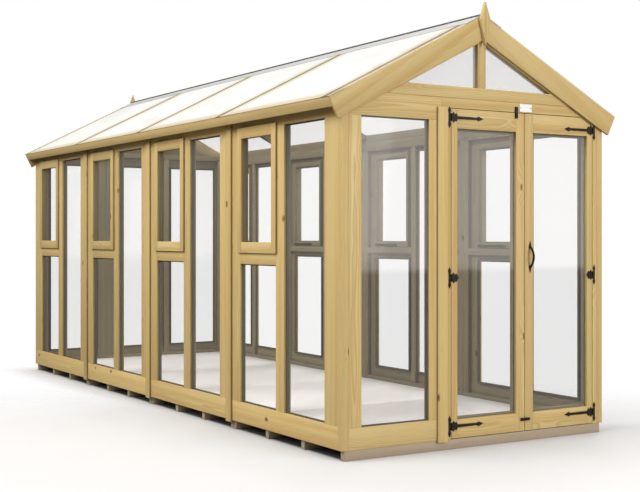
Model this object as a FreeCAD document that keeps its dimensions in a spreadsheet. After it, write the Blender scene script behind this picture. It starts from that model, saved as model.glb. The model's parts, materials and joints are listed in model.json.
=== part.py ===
import FreeCAD, Part
import os
import re

import Sketcher

# Timber apex greenhouse on a joisted floor, in millimetres.
# X runs across the house, Y from the front wall to the back wall, +Z up.
# The origin is on the ground under the middle of the plan. The doors are in the front wall.

# Driving dimensions: name, value, meaning. Heights are taken from the wall bottoms unless said.
SIZES = [
    ("bays", 4, "framed panels along each long wall"),
    ("panel_length", 1219, "length of one side panel"),
    ("house_width", 1830, "outside width over the side walls"),
    ("wall", 44, "thickness of every wall frame, and face width of a corner post"),
    ("post_depth", 32, "depth of a corner post, which covers the ends of a side wall"),
    ("narrow_panel", 641, "left outer face to the joint of the two end wall panels"),
    ("wall_top", 1856, "top of the end walls"),
    ("joist_height", 54, "height of the floor joists, which carry the walls"),
    ("joist_width", 34, "width of one floor joist"),
    ("joist_inset", 18, "set-back of the joist ends from the side walls"),
    ("joist_setback", 4, "set-back of the first joist from the end walls"),
    ("deck_thickness", 18, "floor sheet"),
    ("deck_gap", 2, "gap round each floor sheet"),
    ("bottom_rail", 122, "side panel bottom rail"),
    ("end_stile", 136, "side panel end stile"),
    ("mullion", 93, "side panel middle stile"),
    ("face_board", 16, "thickness of the outer boards of a wall panel"),
    ("stud", 45, "face width of the framing behind those boards"),
    ("head_drop", 132, "top of the end walls down to the heads of the side openings"),
    ("transom_low", 940, "underside of the transom below a sash"),
    ("transom", 83, "height of the transom"),
    ("glass", 4, "pane thickness"),
    ("glass_setback", 16, "door or gable face to pane"),
    ("pane_gap", 0.5, "gap round a pane"),
    ("bead_width", 14, "glazing bead, across the opening"),
    ("bead_depth", 16, "glazing bead, into the wall"),
    ("bead_lap", 6, "wall bead over the edge of its pane"),
    ("batten_width", 64, "cover batten over a panel joint"),
    ("batten_thickness", 13, "cover batten"),
    ("batten_drop", 10, "cover batten below the wall bottom"),
    ("sash_lap", 17, "overlap of a sash on the wall face"),
    ("sash_gap", 3, "gap round the part of a sash inside the opening"),
    ("sash_seat", 0.3, "gap between a shut sash and the wall face"),
    ("sash_stile", 50, "face width of a sash stile"),
    ("sash_rail", 63, "face width of a sash rail"),
    ("facing", 13, "thickness of a sash outside the wall face"),
    ("tongue", 30, "depth of a sash inside the opening, in front of its pane"),
    ("pane_rim", 10, "depth of the rim round the pane, behind the tongue"),
    ("glass_rebate", 8, "overlap of the tongue on its pane"),
    ("sash_hinge_length", 60, "leaf of a sash hinge"),
    ("sash_hinge_height", 10, "leaf of a sash hinge, above its axis"),
    ("sash_hinge_leaf", 2, "leaf thickness of a sash hinge"),
    ("sash_barrel", 3, "barrel radius of a sash hinge"),
    ("barrel_clearance", 0.5, "sash edge to the barrel of its hinge"),
    ("sash_hinge_inset", 55, "sash edge to the near end of a hinge"),
    ("stay_length", 260, "pivot to the end of a casement stay"),
    ("stay_height", 12, "casement stay bar"),
    ("stay_thickness", 5, "casement stay bar"),
    ("stay_eye", 8, "radius of the eye of a casement stay"),
    ("stay_inset", 28, "sash opening edge to the stay pivot"),
    ("stay_rise", 18, "transom top to the middle of the stay"),
    ("stay_gap", 0.3, "stay eye to the sash that carries it"),
    ("end_rail", 114, "end panel bottom rail"),
    ("end_top_rail", 125, "end panel top rail"),
    ("post_stile", 78, "end panel stile beside a corner post"),
    ("joint_stile", 85, "end panel stile beside the panel joint"),
    ("back_mullion", 93, "middle stile of the wide back panel"),
    ("jamb", 63, "door jamb at the panel joint"),
    ("lining", 32, "door jamb at the right corner post"),
    ("header", 55, "head over the doors"),
    ("door_gap", 3, "gap round a door leaf"),
    ("door_thickness", 38, "door leaf"),
    ("hanging_stile", 42, "door leaf stile at the hinges"),
    ("meeting_stile", 61, "door leaf stile where the leaves meet"),
    ("door_top_rail", 107, "door leaf top rail"),
    ("door_bottom_rail", 101, "door leaf bottom rail"),
    ("stop_width", 12, "door stop, across the opening"),
    ("stop_depth", 16, "door stop, into the house"),
    ("stop_gap", 0.5, "shut leaf to its stop"),
    ("barge_clearance", 9, "barge board down to the cut corner of the right leaf"),
    ("roof_pitch", 27, "slope of the roof in degrees"),
    ("eave_overhang", 86.5, "side wall face out to the end of the roof slope"),
    ("rafter_depth", 50, "rafter, square to the slope"),
    ("rafter_width", 44, "rafter, along the house"),
    ("ridge_board", 28, "thickness of the ridge board"),
    ("ridge_depth", 95, "height of the ridge board"),
    ("fascia_depth", 54, "eaves fascia, square to the slope"),
    ("fascia_thickness", 18, "eaves fascia"),
    ("barge_depth", 122, "barge board, square to the slope"),
    ("barge_thickness", 16, "barge board"),
    ("gable_proud", 4, "gable frame in front of the end wall face"),
    ("gable_rafter", 129, "gable rafter, square to the slope"),
    ("gable_rail", 63, "gable bottom rail"),
    ("king_post", 56, "gable king post"),
    ("finial_width", 70, "widest part of a finial board"),
    ("finial_thickness", 20, "finial board"),
    ("finial_rise", 71, "tip of a finial above the ridge line"),
    ("finial_shoulder", 29, "widest part of a finial below the ridge line"),
    ("finial_drop", 173, "foot of a finial below the ridge line"),
    ("sheet", 4, "clear roof sheet"),
    ("sheet_gap", 2, "gap between roof sheets over a rafter"),
    ("flashing_width", 140, "ridge flashing down each slope"),
    ("flashing", 2, "ridge flashing"),
    ("cap_width", 28, "ridge cap down each slope"),
    ("cap", 3, "ridge cap"),
    ("ridge_joint", 0.4, "gap between the two slopes at the ridge"),
    ("strap_length", 224, "long hinge strap, pin to tip"),
    ("short_strap", 52, "short hinge strap, pin to tip"),
    ("strap_width", 17, "hinge strap beside its petals"),
    ("petal_width", 18, "one petal at the root of a strap, along it"),
    ("petal_height", 29, "tip of a petal from the strap's middle line"),
    ("spear_length", 46, "spear tip of a long strap"),
    ("iron", 3, "thickness of hinge straps and plates"),
    ("plate_height", 117, "hinge plate, tip to tip"),
    ("plate_width", 12, "hinge plate between its tips"),
    ("spade_width", 20, "spade tip of a hinge plate"),
    ("barrel", 5.5, "barrel radius of a door hinge"),
    ("barrel_length", 40, "barrel of a door hinge"),
    ("knuckle", 14, "middle knuckle of a door hinge"),
    ("hinge_pin", 2.5, "pin radius of a door hinge"),
    ("pin_gap", 0.3, "clearance round a pin and between knuckles"),
    ("hinge_high", 1750, "middle of the left leaf's top hinge"),
    ("hinge_high_drop", 24, "right leaf's top hinge, which clears the barge board, below the left one"),
    ("hinge_middle", 877, "middle of the short hinges"),
    ("hinge_low", 70, "middle of the bottom hinges"),
    ("handle_height", 986, "middle of the pull handle"),
    ("handle_inset", 38, "meeting edge of the right leaf to the pull handle"),
    ("handle_span", 120, "feet of the pull handle"),
    ("handle_tail", 182, "tip to tip over the tails of the pull handle"),
    ("handle_reach", 32, "door face to the middle of the grip"),
    ("handle_grip", 6, "radius of the grip"),
    ("bolt_width", 10, "door bolt bar"),
    ("bolt_depth", 7, "door bolt bar"),
    ("bolt_length", 30, "door bolt bar"),
    ("bolt_gap", 0.4, "clearance round a bolt in its guide and keep"),
    ("bolt_iron", 2.5, "thickness of bolt guides and keeps"),
    ("keep_length", 30, "bolt keep"),
    ("bolt_inset", 63, "upright bolt from the meeting edge of the left leaf"),
    ("foot_bolt_height", 69, "level bolt"),
]

doc = FreeCAD.newDocument("greenhouse")
sheet = doc.addObject("Spreadsheet::Sheet", "Sizes")
for row, (alias, amount, meaning) in enumerate(SIZES, start=1):
    sheet.set(f"A{row}", alias)
    sheet.set(f"B{row}", str(amount))
    sheet.setAlias(f"B{row}", alias)
    sheet.set(f"C{row}", meaning)
doc.recompute()

ALIASES = re.compile(r"\b(" + "|".join(alias for alias, amount, meaning in SIZES) + r")\b")


def bind(expression):
    """The expression with every size name pointed at its cell."""
    return ALIASES.sub(r"Sizes.\1", expression)


def value(expression):
    """The number that the expression gives now."""
    return float(sheet.evalExpression(bind(expression)))


BAYS = int(value("bays"))

# Places that several pieces share, as expressions
LENGTH = "(bays * panel_length + 2 * post_depth)"
FRONT = f"(-{LENGTH} / 2)"
SIDE = "(house_width / 2)"
INSIDE = "(house_width / 2 - wall)"
BACKING = "(house_width / 2 - face_board)"
FLOOR = "joist_height"
END_TOP = "(joist_height + wall_top)"
HEAD = "(joist_height + wall_top - head_drop)"
TRANSOM_LOW = "(joist_height + transom_low)"
TRANSOM_TOP = "(joist_height + transom_low + transom)"
SILL = "(joist_height + bottom_rail)"
OPENING = "((panel_length - 2 * end_stile - mullion) / 2)"
RIDGE = "(joist_height + wall_top + house_width / 2 * tan(roof_pitch))"
EAVE = "((house_width / 2 + eave_overhang) / cos(roof_pitch))"
JOINT = "(-house_width / 2 + narrow_panel)"


def bay_start(bay):
    """Front end of a side panel."""
    return f"({FRONT} + post_depth + {bay} * panel_length)"


def roof_z(x, depth="0"):
    """Height of the roof line at x, less a depth measured square to the slope."""
    return f"({RIDGE} - ({x}) * tan(roof_pitch) - ({depth}) / cos(roof_pitch))"


def slope_point(distance, depth):
    """Point at a distance down the slope from the ridge and a depth square to it."""
    x = f"(({distance}) * cos(roof_pitch) - ({depth}) * sin(roof_pitch))"
    z = f"({RIDGE} - ({distance}) * sin(roof_pitch) - ({depth}) * cos(roof_pitch))"
    return x, z


def box(name, x, y, z, length, width, height):
    """A square-cut member from its low corner and its size along X, Y and Z."""
    piece = doc.addObject("Part::Box", name)
    piece.setExpression("Length", bind(length))
    piece.setExpression("Width", bind(width))
    piece.setExpression("Height", bind(height))
    piece.setExpression("Placement.Base.x", bind(x))
    piece.setExpression("Placement.Base.y", bind(y))
    piece.setExpression("Placement.Base.z", bind(z))
    return piece


def prism(name, outline, y, length):
    """A member with the given (x, z) outline, running along +Y from y."""
    body = doc.addObject("PartDesign::Body", name)
    plane = [feature for feature in body.Origin.OriginFeatures if feature.Role == "XZ_Plane"][0]
    sketch = body.newObject("Sketcher::SketchObject", name + "_outline")
    sketch.AttachmentSupport = [(plane, "")]
    sketch.MapMode = "FlatFace"
    corners = [FreeCAD.Vector(value(x), value(z), 0) for x, z in outline]
    count = len(corners)
    for index in range(count):
        sketch.addGeometry(Part.LineSegment(corners[index], corners[(index + 1) % count]))
    for index in range(count):
        sketch.addConstraint(Sketcher.Constraint("Coincident", index, 2, (index + 1) % count, 1))
    for index, corner in enumerate(outline):
        for kind, expression in zip(("DistanceX", "DistanceY"), corner):
            limit = Sketcher.Constraint(kind, -1, 1, index, 1, value(expression))
            number = sketch.addConstraint(limit)
            sketch.setExpression(f"Constraints[{number}]", bind(expression))
    pad = body.newObject("PartDesign::Pad", name + "_pad")
    pad.Profile = sketch
    pad.Reversed = True
    pad.setExpression("Length", bind(length))
    body.setExpression("Placement.Base.y", bind(y))
    return body


def group(name, pieces):
    """Separate solids kept together as one sub-part."""
    compound = doc.addObject("Part::Compound", name)
    compound.Links = pieces
    return compound


def mirror(name, source, normal):
    """The source on the other side of the middle plane with that normal."""
    copy = doc.addObject("Part::Mirroring", name)
    copy.Source = source
    copy.Normal = normal
    return copy


def cut(name, base, tool):
    piece = doc.addObject("Part::Cut", name)
    piece.Base = base
    piece.Tool = tool
    return piece


def faceted_bar(radius, length, end, way):
    """A bar of many flats, whose corners are at the radius, from the middle of its end along a way."""
    ring = Part.makeCircle(radius, end, way).discretize(FACETS + 1)
    return Part.Face(Part.makePolygon(ring)).extrude(way * length)


def formed(name, shape):
    """A piece whose outline has arcs, made from the sizes in the sheet."""
    piece = doc.addObject("Part::Feature", name)
    piece.Shape = shape
    return piece


ACROSS = FreeCAD.Vector(1, 0, 0)
ALONG = FreeCAD.Vector(0, 1, 0)
UP = FreeCAD.Vector(0, 0, 1)
FACETS = 12
nodes = []


def node(piece, label):
    """Give a finished sub-part the name of its file."""
    piece.Label = label
    nodes.append(piece)
    return piece


# Floor

def floor_joists():
    """Four joists to each floor section: one at each end and two between."""
    joists = []
    section = f"(({LENGTH} - 2 * joist_setback) / bays)"
    for bay in range(BAYS):
        for step in range(4):
            y = f"{FRONT} + joist_setback + {bay} * {section} + {step} * ({section} - joist_width) / 3"
            joists.append(box(f"joist_{bay}_{step}", "-house_width / 2 + joist_inset", y, "0",
                              "house_width - 2 * joist_inset", "joist_width", "joist_height"))
    return group("joists", joists)


def floor_deck():
    """One floor sheet to each section, laid inside the walls."""
    sheets = []
    section = f"(({LENGTH} - 2 * wall - deck_gap) / bays)"
    for bay in range(BAYS):
        sheets.append(box(f"deck_{bay}", f"-{INSIDE} + deck_gap",
                          f"{FRONT} + wall + deck_gap + {bay} * {section}", FLOOR,
                          f"2 * {INSIDE} - 2 * deck_gap", f"{section} - deck_gap", "deck_thickness"))
    return group("deck", sheets)


# Side walls, made on the right and mirrored to the left

PLATE = f"({roof_z(SIDE, 'rafter_depth')} - stud)"
BEAD_SPREAD = "(bead_width - bead_lap)"


def side_panel(bay):
    """Outer boards round a tall opening in front and a sash opening behind it, on narrower framing."""
    start = bay_start(bay)
    middle = f"{start} + end_stile + {OPENING}"
    end = f"{start} + panel_length"
    name = f"panel_{bay}"
    stile_height = f"{HEAD} - {SILL}"
    stud_low = f"{FLOOR} + stud"
    stud_height = f"{PLATE} - {FLOOR} - stud"

    def board(part, y, z, width, height):
        return box(f"{name}_{part}", BACKING, y, z, "face_board", width, height)

    def framing(part, y, z, width, height):
        return box(f"{name}_{part}", INSIDE, y, z, "wall - face_board", width, height)

    def under_roof(part, inner, outer, low):
        outline = [
            (inner, low),
            (outer, low),
            (outer, roof_z(outer, "rafter_depth")),
            (inner, roof_z(inner, "rafter_depth")),
        ]
        return prism(f"{name}_{part}", outline, start, "panel_length")

    return [
        board("sill", start, FLOOR, "panel_length", "bottom_rail"),
        board("front_stile", start, SILL, "end_stile", stile_height),
        board("mullion", middle, SILL, "mullion", stile_height),
        board("back_stile", f"{end} - end_stile", SILL, "end_stile", stile_height),
        board("transom", f"{middle} + mullion", TRANSOM_LOW, OPENING, "transom"),
        under_roof("head", BACKING, SIDE, HEAD),
        framing("sole", start, FLOOR, "panel_length", "stud"),
        framing("front_stud", start, stud_low, "stud", stud_height),
        framing("middle_stud", middle, stud_low, "stud", stud_height),
        framing("back_stud", f"{end} - stud", stud_low, "stud", stud_height),
        framing("transom_rail", f"{middle} + stud", f"{TRANSOM_TOP} - stud",
                f"{OPENING} + mullion + end_stile - 2 * stud", "stud"),
        under_roof("plate", INSIDE, BACKING, PLATE),
    ]


def side_pane(name, y, z, height):
    """A fixed pane in a side panel, flush with the backs of the boards round it."""
    return box(name, BACKING, f"{y} + pane_gap", f"{z} + pane_gap", "glass", f"{OPENING} - 2 * pane_gap",
               f"{height} - 2 * pane_gap")


def side_beads(name, y, z, height, beside_stud):
    """Four beads behind a fixed pane, on the boards round it. The back one may stop at a stud."""
    x = f"{BACKING} - bead_depth"
    back_width = "bead_lap" if beside_stud else "bead_width"
    length = f"{OPENING} + {BEAD_SPREAD} - bead_lap + {back_width}"
    between = f"{height} - 2 * bead_lap"
    front = f"{y} - {BEAD_SPREAD}"
    return [
        box(f"{name}_low", x, front, f"{z} - {BEAD_SPREAD}", "bead_depth", length, "bead_width"),
        box(f"{name}_high", x, front, f"{z} + {height} - bead_lap", "bead_depth", length, "bead_width"),
        box(f"{name}_front", x, front, f"{z} + bead_lap", "bead_depth", "bead_width", between),
        box(f"{name}_back", x, f"{y} + {OPENING} - bead_lap", f"{z} + bead_lap", "bead_depth", back_width,
            between),
    ]


def side_openings():
    """Name, front edge, sill and height of every fixed opening in a side wall, and if its back is a stud."""
    openings = []
    for bay in range(BAYS):
        tall = f"({bay_start(bay)} + end_stile)"
        low = f"({tall} + {OPENING} + mullion)"
        openings.append((f"tall_{bay}", tall, SILL, f"({HEAD} - {SILL})", True))
        openings.append((f"low_{bay}", low, SILL, f"({TRANSOM_LOW} - {SILL})", False))
    return openings


def side_battens():
    """Cover battens over the joints of the side panels."""
    outer_face = f"({SIDE} + batten_thickness)"
    height = f"{roof_z(outer_face, 'rafter_depth')} - {FLOOR} + batten_drop"
    battens = []
    for joint in range(1, BAYS):
        battens.append(box(f"side_batten_{joint}", SIDE, f"{bay_start(joint)} - batten_width / 2",
                           f"{FLOOR} - batten_drop", "batten_thickness", "batten_width", height))
    return battens


# Top-hung sashes, made on the right and mirrored to the left

SASH_LOW = f"({TRANSOM_TOP} - sash_lap)"
SASH_HEIGHT = f"({HEAD} - {TRANSOM_TOP} + 2 * sash_lap)"
SASH_WIDTH = f"({OPENING} + 2 * sash_lap)"
SASH_AXIS_X = f"({SIDE} + sash_barrel)"
SASH_AXIS_Z = f"({HEAD} + sash_lap + sash_barrel + barrel_clearance)"
TONGUE_STILE = "(sash_stile - sash_lap - sash_gap)"
TONGUE_RAIL = "(sash_rail - sash_lap - sash_gap)"
RIM_STILE = f"({TONGUE_STILE} - glass_rebate)"
RIM_RAIL = f"({TONGUE_RAIL} - glass_rebate)"
TONGUE_BACK = f"({SIDE} + sash_seat - tongue)"


def sash_start(bay):
    """Front edge of the opening that a sash fills."""
    return f"({bay_start(bay)} + end_stile + {OPENING} + mullion)"


def ring(name, x, y, z, depth, width, height, stile, rail):
    """Two stiles with two rails between them, standing in a side wall."""
    inner = f"{width} - 2 * {stile}"
    return [
        box(f"{name}_front", x, y, z, depth, stile, height),
        box(f"{name}_back", x, f"{y} + {width} - {stile}", z, depth, stile, height),
        box(f"{name}_low", x, f"{y} + {stile}", z, depth, inner, rail),
        box(f"{name}_high", x, f"{y} + {stile}", f"{z} + {height} - {rail}", depth, inner, rail),
    ]


def sash_frame(bay):
    """Facing that laps the wall face, a tongue that fills the opening behind it, and a rim for the pane."""
    start = sash_start(bay)
    inside = (f"{start} + sash_gap", f"{TRANSOM_TOP} + sash_gap")
    inside_size = (f"({OPENING} - 2 * sash_gap)", f"({HEAD} - {TRANSOM_TOP} - 2 * sash_gap)")
    facing = ring(f"sash_{bay}_facing", f"{SIDE} + sash_seat", f"{start} - sash_lap", SASH_LOW, "facing",
                  SASH_WIDTH, SASH_HEIGHT, "sash_stile", "sash_rail")
    tongue = ring(f"sash_{bay}_tongue", TONGUE_BACK, *inside, "tongue", *inside_size, TONGUE_STILE, TONGUE_RAIL)
    rim = ring(f"sash_{bay}_rim", f"{TONGUE_BACK} - pane_rim", *inside, "pane_rim", *inside_size, RIM_STILE,
               RIM_RAIL)
    return group(f"sash_{bay}_frame", facing + tongue + rim)


def sash_pane(bay):
    """Pane behind the tongue, inside the rim."""
    side_room = f"(sash_gap + {RIM_STILE} + pane_gap)"
    end_room = f"(sash_gap + {RIM_RAIL} + pane_gap)"
    return box(f"sash_{bay}_pane", f"{TONGUE_BACK} - glass", f"{sash_start(bay)} + {side_room}",
               f"{TRANSOM_TOP} + {end_room}", "glass", f"{OPENING} - 2 * {side_room}",
               f"{HEAD} - {TRANSOM_TOP} - 2 * {end_room}")


def sash_stay(bay):
    """Casement stay parked along the inside of the sash's bottom rail, turning on an upright eye."""
    eye_radius = value("stay_eye")
    height = value("stay_height")
    thickness = value("stay_thickness")
    reach = value("stay_length")
    eye = Part.makeCylinder(eye_radius, height)
    bar_end = FreeCAD.Vector(-thickness / 2, -reach, 0)
    bar = Part.makeBox(thickness, reach, height, bar_end)
    curl = faceted_bar(thickness, height, FreeCAD.Vector(0, -reach, 0), UP)
    stay = formed(f"sash_{bay}_stay", eye.fuse([bar, curl]).removeSplitter())
    x = value(f"{TONGUE_BACK} - pane_rim - stay_gap - stay_eye")
    y = value(f"{sash_start(bay)} + {OPENING} - stay_inset")
    z = value(f"{TRANSOM_TOP} + stay_rise - stay_height / 2")
    stay.Placement = FreeCAD.Placement(FreeCAD.Vector(x, y, z), FreeCAD.Rotation())
    return stay


def sash_hinges():
    """Two hinge leaves with their barrels over each sash."""
    length = value("sash_hinge_length")
    leaf_size = (value("sash_hinge_leaf"), length, value("sash_hinge_height"))
    radius = value("sash_barrel")
    axis_x = value(SASH_AXIS_X)
    axis_z = value(SASH_AXIS_Z)
    hinges = []
    for bay in range(BAYS):
        near = value(f"{sash_start(bay)} - sash_lap + sash_hinge_inset")
        far = value(f"{sash_start(bay)} + {OPENING} + sash_lap - sash_hinge_inset") - length
        for place, y in (("near", near), ("far", far)):
            leaf = Part.makeBox(*leaf_size, FreeCAD.Vector(value(SIDE), y, axis_z))
            back = FreeCAD.Vector(value(SIDE), y, axis_z - radius)
            wrap = Part.makeBox(radius, length, 2 * radius, back)
            shoulder = Part.makeBox(radius, length, radius, FreeCAD.Vector(axis_x, y, axis_z))
            barrel = Part.makeCylinder(radius, length, FreeCAD.Vector(axis_x, y, axis_z), ALONG)
            below = FreeCAD.Vector(axis_x, y, axis_z - radius)
            rounded = barrel.common(Part.makeBox(radius, length, radius, below))
            hinge = leaf.fuse([wrap, shoulder, rounded]).removeSplitter()
            hinges.append(formed(f"sash_hinge_{bay}_{place}", hinge))
    return group("sash_hinges_right", hinges)


# End walls

def end_board(name, x, z, length, height, back=False):
    """An outer board of a panel in the front or back wall."""
    y = f"-{FRONT} - face_board" if back else FRONT
    return box(name, x, y, z, length, "face_board", height)


def end_framing(name, x, z, length, height, back=False):
    """A framing member behind those boards."""
    y = f"-{FRONT} - wall" if back else f"{FRONT} + face_board"
    return box(name, x, y, z, length, "wall - face_board", height)


def end_pane(name, x, z, length, height, back=False):
    """A fixed pane of the front or back wall, flush with the backs of the boards round it."""
    y = f"-{FRONT} - face_board" if back else f"{FRONT} + face_board - glass"
    return box(name, f"{x} + pane_gap", y, f"{z} + pane_gap", f"{length} - 2 * pane_gap", "glass",
               f"{height} - 2 * pane_gap")


def end_beads(name, x, z, length, height, stud_left, stud_right, back=False):
    """Four beads behind a fixed pane of the front or back wall. A bead may stop at a stud."""
    y = f"-{FRONT} - face_board - bead_depth" if back else f"{FRONT} + face_board"
    between = f"{height} - 2 * bead_lap"
    left_width = "bead_lap" if stud_left else "bead_width"
    right_width = "bead_lap" if stud_right else "bead_width"
    left = f"{x} + bead_lap - {left_width}"
    right = f"{x} + {length} - bead_lap"
    whole = f"{length} - 2 * bead_lap + {left_width} + {right_width}"
    return [
        box(f"{name}_low", left, y, f"{z} - {BEAD_SPREAD}", whole, "bead_depth", "bead_width"),
        box(f"{name}_high", left, y, f"{z} + {height} - bead_lap", whole, "bead_depth", "bead_width"),
        box(f"{name}_left", left, y, f"{z} + bead_lap", left_width, "bead_depth", between),
        box(f"{name}_right", right, y, f"{z} + bead_lap", right_width, "bead_depth", between),
    ]


END_SILL = "(joist_height + end_rail)"
END_HEAD = f"({END_TOP} - end_top_rail)"
END_HEIGHT = f"({END_HEAD} - {END_SILL})"
END_STUD_LOW = f"({FLOOR} + stud)"
END_STUD_HEIGHT = f"({END_TOP} - {FLOOR} - 2 * stud)"


def end_panel(name, left, right, stiles, studs, back=False):
    """Boards and framing of an end wall panel. Stiles and studs are the left and right face widths."""
    width = f"({right} - ({left}))"
    left_stile, right_stile = stiles
    left_stud, right_stud = studs
    return [
        end_board(f"{name}_sill", left, FLOOR, width, "end_rail", back),
        end_board(f"{name}_head", left, END_HEAD, width, "end_top_rail", back),
        end_board(f"{name}_left", left, END_SILL, left_stile, END_HEIGHT, back),
        end_board(f"{name}_right", f"{right} - {right_stile}", END_SILL, right_stile, END_HEIGHT, back),
        end_framing(f"{name}_sole", left, FLOOR, width, "stud", back),
        end_framing(f"{name}_plate", left, f"{END_TOP} - stud", width, "stud", back),
        end_framing(f"{name}_left_stud", left, END_STUD_LOW, left_stud, END_STUD_HEIGHT, back),
        end_framing(f"{name}_right_stud", f"{right} - {right_stud}", END_STUD_LOW, right_stud, END_STUD_HEIGHT,
                    back),
    ]


NARROW_X = f"(-{INSIDE} + post_stile)"
NARROW_WIDTH = f"({JOINT} - joint_stile - {NARROW_X})"
WIDE_X = f"({JOINT} + joint_stile)"
WIDE_WIDTH = f"(({INSIDE} - post_stile - {WIDE_X} - back_mullion) / 2)"


NARROW_WIDTHS = (("post_stile", "joint_stile"), ("stud", "joint_stile"))
WIDE_WIDTHS = (("joint_stile", "post_stile"), ("joint_stile", "stud"))


def back_wall():
    """A narrow panel and a wide panel with a mullion."""
    narrow = end_panel("back_narrow", f"-{INSIDE}", JOINT, *NARROW_WIDTHS, back=True)
    wide = end_panel("back_wide", JOINT, INSIDE, *WIDE_WIDTHS, back=True)
    mullion = f"{WIDE_X} + {WIDE_WIDTH}"
    middle = [
        end_board("back_mullion_board", mullion, END_SILL, "back_mullion", END_HEIGHT, back=True),
        end_framing("back_mullion_stud", f"{mullion} + (back_mullion - stud) / 2", END_STUD_LOW, "stud",
                    END_STUD_HEIGHT, back=True),
    ]
    return group("back_wall", narrow + wide + middle)


def back_openings():
    """Name, left edge and width of each opening, and if its left and right edges are studs."""
    return [
        ("back_narrow_light", NARROW_X, NARROW_WIDTH, False, True),
        ("back_wide_light", WIDE_X, WIDE_WIDTH, True, False),
        ("back_end_light", f"{WIDE_X} + {WIDE_WIDTH} + back_mullion", WIDE_WIDTH, False, False),
    ]


def corner_posts():
    posts = []
    for across, x in (("left", f"-{SIDE}"), ("right", INSIDE)):
        for along, y in (("front", FRONT), ("back", f"-{FRONT} - post_depth")):
            posts.append(box(f"post_{along}_{across}", x, y, FLOOR, "wall", "post_depth", "wall_top"))
    return group("posts", posts)


def end_battens():
    """Cover battens over the panel joints of the end walls."""
    x = f"{JOINT} - batten_width / 2"
    z = f"{FLOOR} - batten_drop"
    front = box("front_batten", x, f"{FRONT} - batten_thickness", z, "batten_width",
                "batten_thickness", "wall_top - header + batten_drop")
    back = box("back_batten", x, f"-{FRONT}", z, "batten_width", "batten_thickness",
               "wall_top - header + batten_drop")
    return [front, back]


# Doors. Both leaves open outwards. The right leaf's top corner is cut to pass under the barge board.

DOOR_HEAD = f"({END_TOP} - header)"
DOOR_LEFT = f"({JOINT} + jamb)"
DOOR_RIGHT = f"({INSIDE} - lining)"
LEAF = f"(({DOOR_RIGHT} - {DOOR_LEFT} - 3 * door_gap) / 2)"
LEAF_LOW = f"({FLOOR} + door_gap)"
LEAF_HEIGHT = f"({DOOR_HEAD} - {FLOOR} - 2 * door_gap)"
LEFT_LEAF = f"({DOOR_LEFT} + door_gap)"
RIGHT_LEAF = f"({LEFT_LEAF} + {LEAF} + door_gap)"
LEFT_AXIS = f"({DOOR_LEFT} + door_gap / 2)"
RIGHT_AXIS = f"({DOOR_RIGHT} - door_gap / 2)"
HINGE_AXIS_Y = f"({FRONT} - barrel)"


def barge_space(name, drop):
    """The space over a line that runs a drop below the barge board's lower edge."""
    inner = f"({SIDE} / 2)"
    outer = SIDE
    outline = [
        (inner, f"{roof_z(inner, 'barge_depth')} - {drop}"),
        (outer, f"{roof_z(outer, 'barge_depth')} - {drop}"),
        (outer, END_TOP),
        (inner, RIDGE),
    ]
    return prism(name, outline, FRONT, "wall")


def frame_piece(name, x, z, length, height):
    """A door frame member as deep as the wall."""
    return box(name, x, FRONT, z, length, "wall", height)


def door_frame():
    """Jamb, lining, header with its corner block, and stops behind the leaves."""
    stop_y = f"{FRONT} + door_thickness + stop_gap"
    opening = f"({DOOR_RIGHT} - {DOOR_LEFT})"
    stop_height = f"{DOOR_HEAD} - {FLOOR} - stop_width"
    corner = doc.addObject("Part::Common", "header_corner")
    corner.Base = box("header_corner_block", f"{DOOR_RIGHT} - {LEAF} / 2", FRONT,
                      f"{DOOR_HEAD} - door_top_rail", f"{LEAF} / 2", "door_thickness", "door_top_rail")
    corner.Tool = barge_space("header_corner_space", "(barge_clearance - door_gap)")
    return group("door_frame_pieces", [
        frame_piece("jamb_left", JOINT, FLOOR, "jamb", f"{DOOR_HEAD} - {FLOOR}"),
        frame_piece("jamb_right", DOOR_RIGHT, FLOOR, "lining", f"{DOOR_HEAD} - {FLOOR}"),
        frame_piece("header_piece", JOINT, DOOR_HEAD, f"{INSIDE} - {JOINT}", "header"),
        corner,
        box("stop_left", DOOR_LEFT, stop_y, FLOOR + " + deck_thickness", "stop_width", "stop_depth",
            f"{stop_height} - deck_thickness"),
        box("stop_right", f"{DOOR_RIGHT} - stop_width", stop_y, FLOOR + " + deck_thickness", "stop_width",
            "stop_depth", f"{stop_height} - deck_thickness"),
        box("stop_head", DOOR_LEFT, stop_y, f"{DOOR_HEAD} - stop_width", opening, "stop_depth",
            "stop_width"),
    ])


def leaf_frame(name, x, left_stile, right_stile):
    """Stiles and rails of a leaf, as left stile, right stile, bottom rail and top rail."""
    inner = f"{LEAF} - {left_stile} - {right_stile}"

    def member(part, place, z, length, height):
        return box(f"{name}_{part}", place, FRONT, z, length, "door_thickness", height)

    return [
        member("stile_left", x, LEAF_LOW, left_stile, LEAF_HEIGHT),
        member("stile_right", f"{x} + {LEAF} - {right_stile}", LEAF_LOW, right_stile, LEAF_HEIGHT),
        member("foot", f"{x} + {left_stile}", LEAF_LOW, inner, "door_bottom_rail"),
        member("head", f"{x} + {left_stile}", f"{LEAF_LOW} + {LEAF_HEIGHT} - door_top_rail", inner,
               "door_top_rail"),
    ]


def leaf_light(x, left_stile):
    """Place and size of the opening in a leaf."""
    width = f"({LEAF} - hanging_stile - meeting_stile)"
    height = f"({LEAF_HEIGHT} - door_bottom_rail - door_top_rail)"
    return f"({x} + {left_stile})", f"({LEAF_LOW} + door_bottom_rail)", width, height


def leaf_pane(name, light):
    """Pane of a leaf."""
    x, z, width, height = light
    return box(name, f"{x} + pane_gap", f"{FRONT} + glass_setback", f"{z} + pane_gap", f"{width} - 2 * pane_gap",
               "glass", f"{height} - 2 * pane_gap")


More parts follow.
